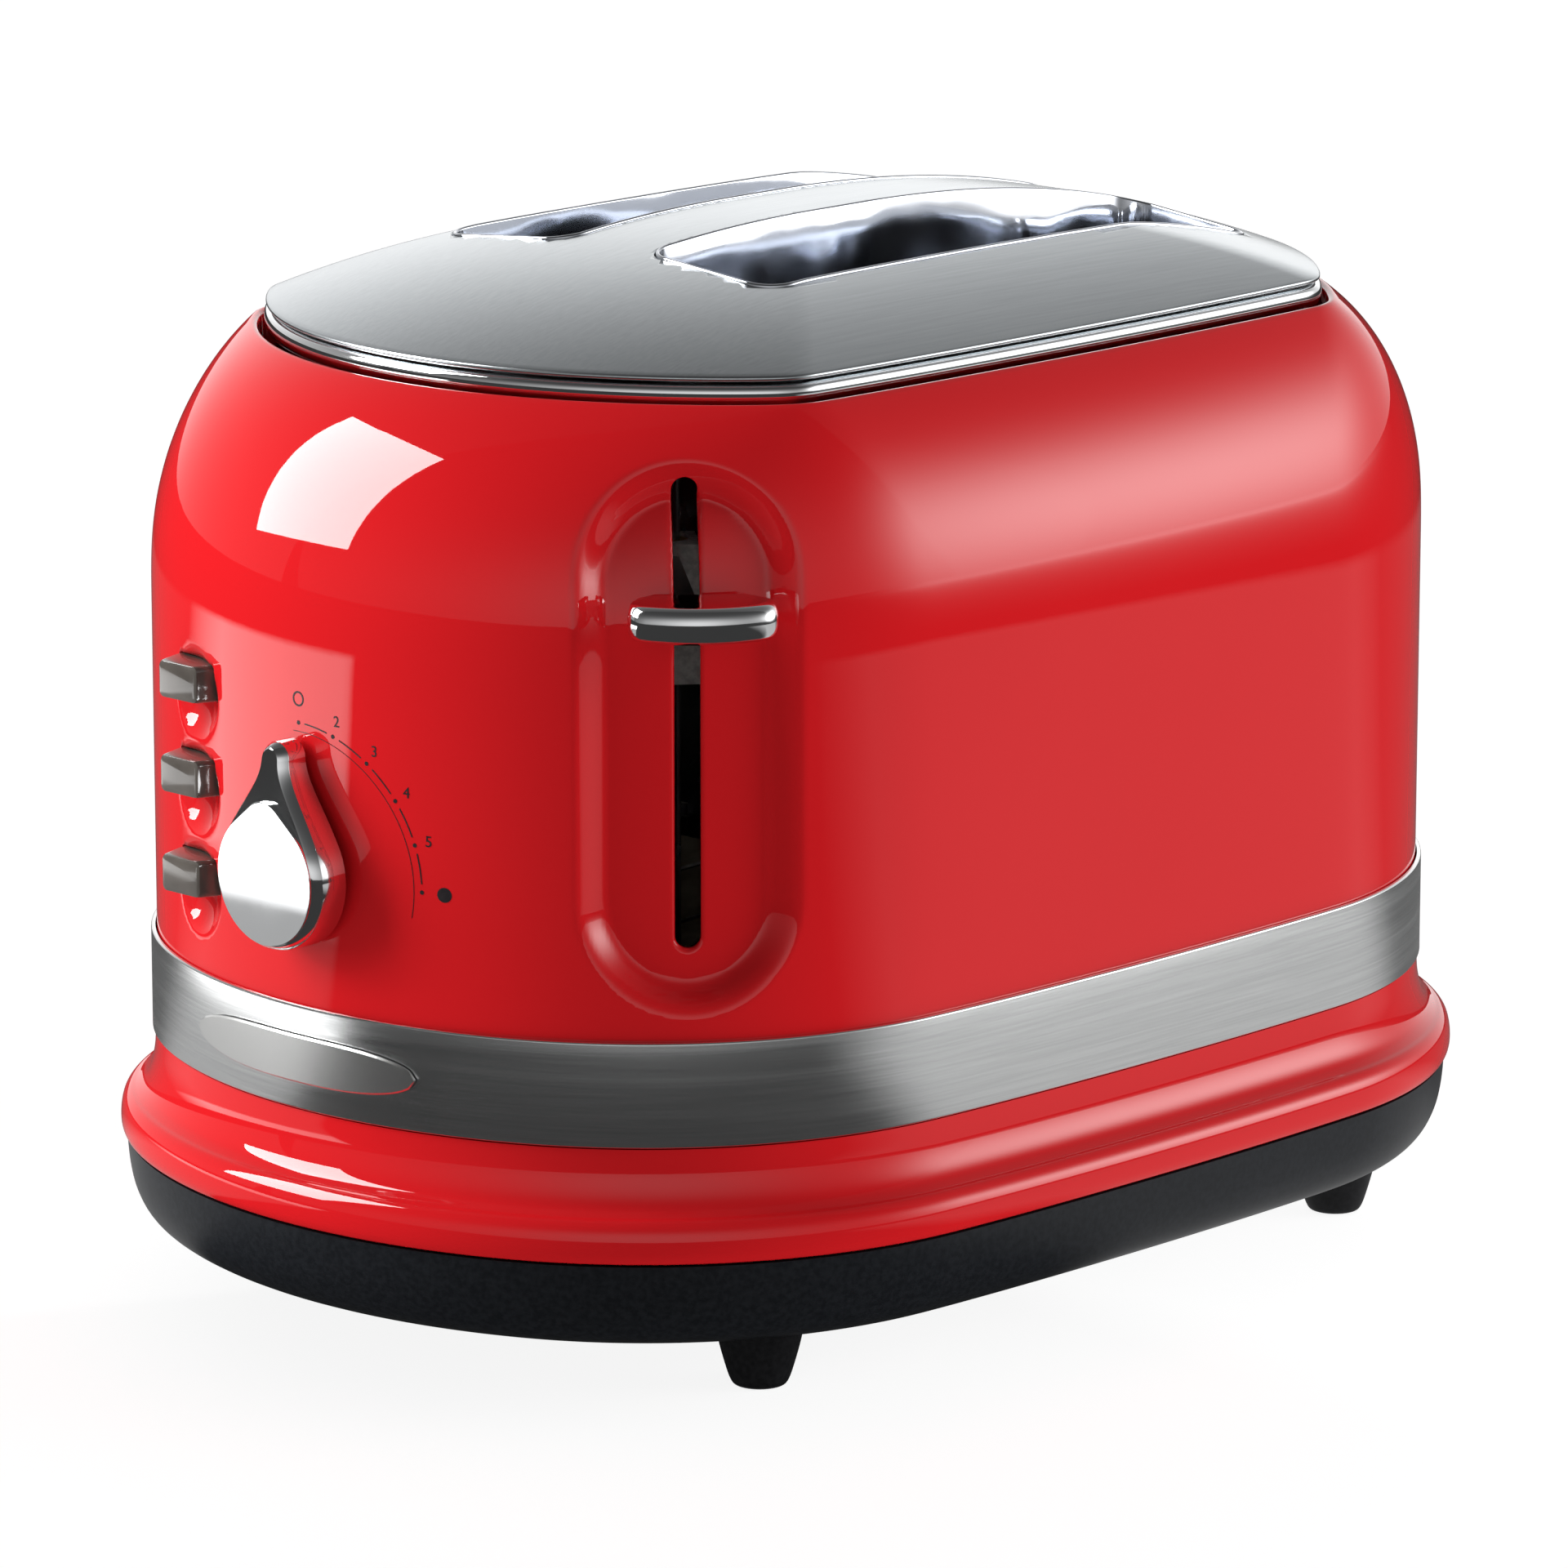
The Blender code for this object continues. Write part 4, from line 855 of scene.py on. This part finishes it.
def make_throats():
    """Polished slot throats: a rounded lip on the lid, then walls that lean in a little."""
    wall, clear, lean = 0.8, 0.35, 1.4

    def loop(x, inset, extra=0.0):
        return rounded_box(SLOT_WIDTH / 2 - clear - inset - extra, SLOT_FRONT + clear + inset,
                           SLOT_REAR - clear - inset, max(SLOT_CORNER - clear - inset, 0.5), x)

    for side, x in SLOTS.items():
        lip = np.array([crown(lid_share(px, py)) for px, py in loop(x, 0.0)])
        rings = []
        for k in range(7):
            a = math.radians(180 * k / 6)
            rings.append(at_height(loop(x, wall / 2 - wall / 2 * math.cos(a)),
                                   lip + 0.05 + wall / 2 * math.sin(a)))
        down = list(np.linspace(0, 1, 7)[1:])
        for inset, share in [(wall, s) for s in down] + [(0.0, s) for s in down[::-1]]:
            rings.append(at_height(loop(x, inset, lean * share), lip * (1 - share) + THROAT_BOTTOM * share))
        throat = grid_mesh("throat_sheet_" + side, rings, LOOKS["throat"], tube=True)
        stand_for(throat, "slot_throat_" + side)


# ---------------------------------------------------------------- controls

def teardrop(inset=0.0):
    """Drop outline (x, z) of the knob: round below, hollow flanks and a narrow tip above."""
    radius, tip, tip_radius = DIAL_RADIUS - inset, DIAL_TIP - inset, max(DIAL_TIP_RADIUS - inset, 0.4)
    leave = math.radians(30)
    start = (radius * math.cos(leave), radius * math.sin(leave))
    end = (tip_radius, tip - tip_radius)
    reach = end[1] - start[1]
    pulls = (start, (start[0] - 0.27 * reach, start[1] + 0.47 * reach), (end[0] + 0.1, end[1] - 0.28 * reach),
             end)
    flank = []
    for k in range(1, 16):
        s = k / 16
        weights = ((1 - s) ** 3, 3 * s * (1 - s) ** 2, 3 * s * s * (1 - s), s ** 3)
        flank.append([sum(w * q[i] for w, q in zip(weights, pulls)) for i in (0, 1)])
    points = arc_points((0, 0), radius, 150, 390, 48) + flank
    points += arc_points((0, end[1]), tip_radius, 0, 180, 12)
    points += [(-x, z) for x, z in reversed(flank)]
    return [(DIAL_X + x, DIAL_Z + z) for x, z in points]


def dial_front(z):
    """How far the front of the knob falls back towards its tip."""
    return 0.09 * max(z - DIAL_Z - 5.0, 0.0)


def make_dial():
    """Chrome drop-shaped knob with a bevelled front and a polished face plate."""
    front = DIAL_FACE + 0.35
    rings = [at_depth(teardrop(inset), y) for y, inset in ((DIAL_BACK, 0.25), (DIAL_BACK - 0.25, 0.0))]
    for y, inset in ((DIAL_FACE + 2.2, 0.0), (DIAL_FACE + 1.9, 0.1), (DIAL_FACE + 0.6, 0.85), (front, 1.15)):
        rings.append([(x, y + dial_front(z), z) for x, z in teardrop(inset)])
    centre = (DIAL_X, DIAL_Z + 3.0)
    for shrink in (0.8, 0.55, 0.3, 0.05):
        drawn = [(centre[0] + (x - centre[0]) * shrink, centre[1] + (z - centre[1]) * shrink)
                 for x, z in teardrop(1.15)]
        rings.append([(x, front + dial_front(z), z) for x, z in drawn])
    knob = grid_mesh("knob_body", rings, LOOKS["chrome"], sharp=25)
    cut(knob, [bar("knob_bore", (DIAL_X, DIAL_BACK + 5, DIAL_Z), (DIAL_X, DIAL_FACE + 3, DIAL_Z), 3.3)])
    stand_for(knob, "dial_knob")
    edges = ((1.3, 0.0), (0.12, 0.0), (0.02, 0.12), (0.0, 0.35))
    face = grid_mesh("knob_face", [at_depth(plate_outline(inset), DIAL_FACE + deep) for deep, inset in edges],
                     LOOKS["chrome"], sharp=25)
    stand_for(face, "dial_cap")


def plate_outline(inset):
    """Face plate outline: an egg, round below and narrower above."""
    radius, tip, tip_radius = 12.3 - inset, 14.4 - inset, 5.2 - inset
    lean = math.degrees(math.acos((radius - tip_radius) / (tip - tip_radius)))
    points = arc_points((0, 0), radius, 90 + lean, 450 - lean, 60)
    points += arc_points((0, tip - tip_radius), tip_radius, 90 - lean, 90 + lean, 10)
    return [(DIAL_X + x, DIAL_Z + z) for x, z in points]


def print_on_end(name, build, proud=0.06):
    """Lay a flat drawing in the XZ plane on the curved control end, as ink that rides on the housing."""
    for vertex in build.verts:
        x, depth, z = vertex.co
        vertex.co = (x, float(end_surface(x)) - proud + depth, z)
    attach(finish_mesh(name, build, LOOKS["ink"]), "housing")


def strip(build, points, half):
    """A thin flat strip along points (x, z), as a closed sliver of ink."""
    flat = [Vector(p) for p in points]
    rows = []
    for i, here in enumerate(flat):
        ahead = flat[min(i + 1, len(flat) - 1)] - flat[max(i - 1, 0)]
        side = Vector((-ahead.y, ahead.x)).normalized() * half
        corners = [(here + side, 0.0), (here - side, 0.0), (here - side, INK_DEPTH), (here + side, INK_DEPTH)]
        rows.append([build.verts.new((p.x, depth, p.y)) for p, depth in corners])
    for a, b in zip(rows, rows[1:]):
        for k in range(4):
            build.faces.new((a[k], a[(k + 1) % 4], b[(k + 1) % 4], b[k]))
    build.faces.new(rows[0][::-1])
    build.faces.new(rows[-1])


def scale_point(degrees, radius=SCALE_RADIUS):
    a = math.radians(degrees)
    return (DIAL_X + radius * math.sin(a), DIAL_Z + radius * math.cos(a))


def arc_line(start, end, radius, steps=24):
    return [scale_point(start + (end - start) * k / steps, radius) for k in range(steps + 1)]


def circle_line(centre, radius, steps=20):
    turns = [2 * math.pi * k / steps for k in range(steps + 1)]
    return [(centre[0] + radius * math.sin(a), centre[1] + radius * math.cos(a)) for a in turns]


def make_scale():
    """Printed browning scale: dashes and dots, a hairline inside them, and light and dark symbols."""
    build = bmesh.new()
    spacing, gap = SCALE_SWEEP / (SCALE_MARKS - 1), 3.2
    for k in range(SCALE_MARKS):
        strip(build, circle_line(scale_point(k * spacing), 0.2), 0.2)
        if k + 1 < SCALE_MARKS:
            strip(build, arc_line(k * spacing + gap, (k + 1) * spacing - gap, SCALE_RADIUS, 10), 0.12)
    strip(build, arc_line(-3, 101, SCALE_RADIUS - 1.6, 60), 0.05)
    light, dark = scale_point(0, SCALE_RADIUS + 4.4), scale_point(SCALE_SWEEP, SCALE_RADIUS + 4.4)
    strip(build, circle_line(light, 1.25), 0.16)
    for k in range(6):
        strip(build, circle_line(dark, 0.15 + 0.22 * k), 0.13)
    print_on_end("dial_scale", build)
    for k in range(1, SCALE_MARKS - 1):
        make_numeral(str(k + 1), scale_point(k * spacing, SCALE_RADIUS + 2.9))


def make_numeral(text, centre):
    """One printed numeral of the scale."""
    data = bpy.data.curves.new("numeral_" + text, "FONT")
    data.body = text
    data.size = 2.9
    data.extrude = INK_DEPTH / 2
    data.align_x = "CENTER"
    data.align_y = "CENTER"
    letter = place("numeral_" + text, data)
    mesh = baked(letter)
    bpy.data.objects.remove(letter)
    build = bmesh.new()
    build.from_mesh(mesh)
    bmesh.ops.remove_doubles(build, verts=build.verts, dist=1e-4)
    for vertex in build.verts:
        x, z, depth = vertex.co
        vertex.co = (centre[0] + x, INK_DEPTH / 2 - depth, centre[1] + z)
    print_on_end("scale_numeral_" + text, build)


def make_buttons():
    """Smoky push buttons: a flat front, sloping cheeks and softened edges."""
    surface = float(end_surface(BUTTON_X))
    front, root, back = surface - 4.5, surface + 1.0, surface + 3.5
    tall, wide, base = BUTTON_TALL / 2, BUTTON_FRONT / 2, BUTTON_BASE / 2
    sections = ((back, base, 0.0), (root, base, 0.0), (root - 1.4, base - 0.5, 0.0),
                (front + 0.7, wide + 0.35, 0.0), (front + 0.2, wide + 0.05, 0.12), (front, wide - 0.5, 0.6))
    for name, z in BUTTON_HEIGHTS.items():
        rings = [at_depth(rounded_box(half, z - tall + soft, z + tall - soft, 1.1, BUTTON_X, 2, 6), y)
                 for y, half, soft in sections]
        button = grid_mesh(name + "_cap", rings, LOOKS["smoked_plastic"], sharp=30)
        stem = block("stem", (BUTTON_X - 2, back - 0.5, z - tall), (BUTTON_X + 2, -116.4, z + tall))
        cut(button, [stem], "UNION")
        stand_for(button, name)


def make_lever_knob():
    """Chrome lever bar: bowed front, rounded corners, cheeks that narrow towards the body."""
    front, back, wide, root, corner, bow, shift, half = 10.0, -3.6, 13.4, 9.0, 2.4, 4.2, 2.0, 3.4
    outline = [(back, -root)]
    for k in range(25):
        along = wide * math.sin((-1 + 2 * k / 24) * math.pi / 2)
        edge = max(abs(along) - (wide - corner), 0.0)
        fall = bow * (along / wide) ** 2 + corner - math.sqrt(max(corner ** 2 - edge ** 2, 0.0))
        outline.append((front - fall, along))
    outline.append((back, root))
    rings = []
    for k in range(17):
        a = math.radians(-90 + 180 * k / 16)
        shrink = 2.6 * (1 - math.cos(a) ** 0.8)
        keep = 1 - 0.5 * shrink / wide
        spots = [lever_point(out - shrink if out > back else out, along * keep + shift)
                 for out, along in outline]
        rings.append([(x, y, LEVER_HEIGHT + half * math.sin(a)) for x, y in spots])
    knob = grid_mesh("lever_bar", rings, LOOKS["chrome"])
    corners = [lever_point(out, along) for out, along in ((-8.0, -1.9), (4.4, -1.9), (4.4, 1.9), (-8.0, 1.9))]
    cut(knob, [grid_mesh("socket", [at_height(corners, LEVER_HEIGHT + rise) for rise in (-2.3, 2.3)], None)])
    stand_for(knob, "lever_knob")


def make_gland():
    """Rear bush for the mains lead."""
    rear = BAND["length"] / 2 - SHELL_INSET
    bore = 3.8
    profile = [(bore, -8.0), (GLAND_RADIUS, -8.0), (GLAND_RADIUS, 0.6), (9.0, 0.6), (9.0, 2.0), (8.6, 2.6),
               (6.6, 5.2), (6.2, 6.3), (5.6, 6.5), (4.2, 6.5), (bore, 6.1)]
    gland = turned("lead_bush", [(radius, rear + out) for radius, out in profile], (0.0, GLAND_Z),
                   LOOKS["foot_rubber"], upright=False)
    stand_for(gland, "cord_gland")


def make_tray_handle():
    """Rear pull of the crumb tray, curved with the base and rounded at its edges."""
    centre_y = BAND["length"] / 2 - BAND["end_radius"]
    outer, inner = BAND["end_radius"] + 8.0, BAND["end_radius"] + 0.8
    low, high, edge = 19.4, 26.8, 0.8
    section = [(inner, low)] + arc_points((outer - edge, low + edge), edge, -90, 0, 3)
    section += arc_points((outer - edge, high - edge), edge, 0, 90, 3) + [(inner, high)]
    reach = math.asin((TRAY_HALF_WIDTH - 1.5) / outer)
    rings = []
    for k in range(41):
        a = reach * (-1 + 2 * k / 40)
        rings.append([(r * math.sin(a), centre_y + r * math.cos(a), z) for r, z in section])
    handle = grid_mesh("tray_pull", rings, LOOKS["black_plastic"], sharp=50)
    stand_for(handle, "tray_handle")


# ---------------------------------------------------------------- inside

def make_guards():
    """Bread guards: zigzag wires with rounded bends."""
    runs, first, last, spread = 10, -50.0, 81.0, 16.0
    for side, centre in SLOTS.items():
        for x in (centre - spread, centre + spread):
            name = f"guard_{side}_{'inner' if abs(x) < SLOT_CENTRE_X else 'outer'}"
            points = [(x, -57.5, GUARD_PIVOT_Z), (x, first, GUARD_PIVOT_Z)]
            for k in range(runs):
                y = first + (last - first) * k / (runs - 1)
                pair = [(x, y, GUARD_PIVOT_Z + 3), (x, y, GUARD_TOP)]
                if k in (0, runs - 1):
                    pair = pair[1:]
                points += pair[::-1] if k % 2 else pair
            points += [(x, last, GUARD_PIVOT_Z), (x, 89.5, GUARD_PIVOT_Z)]
            guard = wire(name + "_wire", points, 0.9, LOOKS["steel_wire"], corner=2.5)
            stand_for(guard, name)


# ---------------------------------------------------------------- studio

def make_floor():
    """Plain white floor, lit a little from below like a light table."""
    made, tree, shader = principled("studio_floor", (0.5, 0.5, 0.5), 0.7)
    tint(tree, shader, noise(tree, 3.0), (0.49, 0.49, 0.49), (0.51, 0.51, 0.51))
    shader.inputs["Emission Color"].default_value = (1, 1, 1, 1)
    shader.inputs["Emission Strength"].default_value = FLOOR_GLOW
    build = bmesh.new()
    bmesh.ops.create_grid(build, x_segments=2, y_segments=2, size=20000.0)
    floor = finish_mesh("studio_floor", build, made)
    return floor


def card_light(tree):
    """Brightness of the table top by plan angle and distance; returns its value socket."""
    spot = add_node(tree, "TexCoord").outputs["Object"]
    split = add_node(tree, "SeparateXYZ", links={"Vector": spot})
    behind = node_math(tree, "MULTIPLY", split.outputs["Y"], -1.0)
    angle = node_math(tree, "ARCTAN2", split.outputs["X"], behind)
    turn = node_math(tree, "MULTIPLY_ADD", angle, 0.5 / math.pi, 0.5)
    left, right = (ramp(tree, turn, [((degrees + 180) / 360, (level,) * 3) for degrees, level in stops])
                   for stops in (CARD_LEFT, CARD_RIGHT))
    length = add_node(tree, "VectorMath", links={0: spot})
    length.operation = "LENGTH"
    reach = length.outputs["Value"]
    table = map_range(tree, reach, CARD_EDGE * 1.03, CARD_EDGE * 0.97)
    near = node_math(tree, "MULTIPLY_ADD", left, map_range(tree, reach, *CARD_NEAR, CARD_NEAR_LEVEL), right)
    shown = node_math(tree, "MULTIPLY", near, table)
    away = node_math(tree, "SUBTRACT", angle, math.radians(GLOWS[0][0]))
    away = node_math(tree, "DIVIDE", away, math.radians(GLOWS[0][2]))
    squared = node_math(tree, "MULTIPLY", away, away)
    fall = node_math(tree, "EXPONENT", node_math(tree, "MULTIPLY", squared, -1.0))
    far = map_range(tree, reach, *CARD_FAR, 0.0, CARD_FAR_LEVEL)
    return node_math(tree, "MULTIPLY_ADD", shown, CARD_STRENGTH,
                     node_math(tree, "MULTIPLY_ADD", fall, far, CARD_BEYOND))


def make_reflection_card():
    """Table top that only reflections see: bright at the left, dark in front, dim at the right."""
    made, tree, shader = principled("reflection_card", (0, 0, 0), 1.0)
    shader.inputs["Specular IOR Level"].default_value = 0.0
    shader.inputs["Emission Color"].default_value = (1, 1, 1, 1)
    tree.links.new(card_light(tree), shader.inputs["Emission Strength"])
    build = bmesh.new()
    bmesh.ops.create_circle(build, cap_ends=True, segments=96, radius=29000.0)
    card = finish_mesh("reflection_card", build, made)
    card.location.z = 0.4 * MM
    card.visible_camera = False
    card.visible_diffuse = False
    card.visible_shadow = False


def direction(plan_angle, elevation):
    """Unit vector at a plan angle (degrees from -Y towards +X) and elevation."""
    a, e = math.radians(plan_angle), math.radians(elevation)
    return Vector((math.sin(a) * math.cos(e), -math.cos(a) * math.cos(e), math.sin(e)))


def softbox(name, plan_angle, elevation, distance, width, height, radiance, tilt):
    """Rectangular area light that faces the toaster, turned about its own axis by a tilt."""
    data = bpy.data.lights.new(name, "AREA")
    data.shape = "RECTANGLE"
    data.size, data.size_y = width, height
    data.energy = radiance * math.pi * width * height
    lamp = place(name, data)
    target = Vector((0, -0.1, 0.15))
    lamp.location = target + direction(plan_angle, elevation) * distance
    aim = (target - lamp.location).to_track_quat("-Z", "Y").to_matrix()
    lamp.rotation_euler = (aim @ Matrix.Rotation(math.radians(tilt), 3, "Z")).to_euler()
    lamp.visible_camera = False
    return lamp


def spare(lamp, pieces):
    """Keep a lamp off some pieces: the floor stays evenly white and the brushed band keeps its tone."""
    group = bpy.data.collections.new(lamp.name + "_spares")
    for piece in pieces:
        group.objects.link(piece)
    lamp.light_linking.receiver_collection = group
    for member in group.collection_objects:
        member.light_linking.link_state = "EXCLUDE"


def world_dot(tree, sight, toward):
    node = add_node(tree, "VectorMath")
    node.operation = "DOT_PRODUCT"
    node.inputs[1].default_value = toward
    tree.links.new(sight, node.inputs[0])
    return node.outputs["Value"]


def glow(tree, sight, plan_angle, elevation, across, up, peak):
    """Soft round-edged patch of light in the surround, with its widths in degrees."""
    centre = direction(plan_angle, elevation)
    side = direction(plan_angle + 90, 0)
    rise = direction(plan_angle, elevation + 90)
    total = None
    for axis, width in ((side, across), (rise, up)):
        away = node_math(tree, "DIVIDE", world_dot(tree, sight, axis), math.sin(math.radians(width)))
        squared = node_math(tree, "MULTIPLY", away, away)
        total = squared if total is None else node_math(tree, "ADD", total, squared)
    fall = node_math(tree, "EXPONENT", node_math(tree, "MULTIPLY", total, -1.0))
    ahead = node_math(tree, "GREATER_THAN", world_dot(tree, sight, centre), 0.0)
    return node_math(tree, "MULTIPLY", node_math(tree, "MULTIPLY", fall, ahead), peak)


def make_world():
    """Dim surround with soft patches of light: (plan angle, elevation, half-widths, peak)."""
    world = bpy.data.worlds.new("studio")
    bpy.context.scene.world = world
    world.use_nodes = True
    tree = world.node_tree
    sight = add_node(tree, "TexCoord").outputs["Generated"]
    total = SURROUND
    for patch in GLOWS:
        total = node_math(tree, "ADD", total, glow(tree, sight, *patch))
    background = tree.nodes["Background"]
    background.inputs["Color"].default_value = (1.0, 1.0, 1.0, 1.0)
    tree.links.new(total, background.inputs["Strength"])


def make_camera():
    plan_angle, elevation, distance, focal_length = CAMERA
    back = direction(plan_angle, elevation)
    right = direction(plan_angle + 90, 0)
    up = back.cross(right)
    aim = Vector((0, 0, 0.0771)) - right * 0.00246 + up * 0.0117
    data = bpy.data.cameras.new("camera")
    data.sensor_width = 36.0
    data.lens = focal_length
    data.clip_end = 100
    camera = place("camera", data)
    turn = Matrix((right, up, back)).transposed().to_4x4()
    camera.matrix_world = Matrix.Translation(aim + back * distance) @ turn
    bpy.context.scene.camera = camera


def make_studio():
    floor = make_floor()
    make_reflection_card()
    make_world()
    make_camera()
    spare(softbox("key", *KEY), [floor, bpy.data.objects["band_strip"]])
    for name, fill in (("key_fill", KEY_FILL), ("side_fill", SIDE_FILL)):
        lamp = softbox(name, *fill)
        lamp.visible_glossy = False
        spare(lamp, [floor])
    bpy.context.scene.view_settings.view_transform = "Standard"


finish_cad_nodes()
make_shell()
make_band()
make_badge()
make_skirt()
make_base()
make_feet()
make_lid()
make_trim()
make_throats()
make_dial()
make_scale()
make_buttons()
make_lever_knob()
make_gland()
make_tray_handle()
make_guards()
make_studio()

bpy.context.view_layer.update()
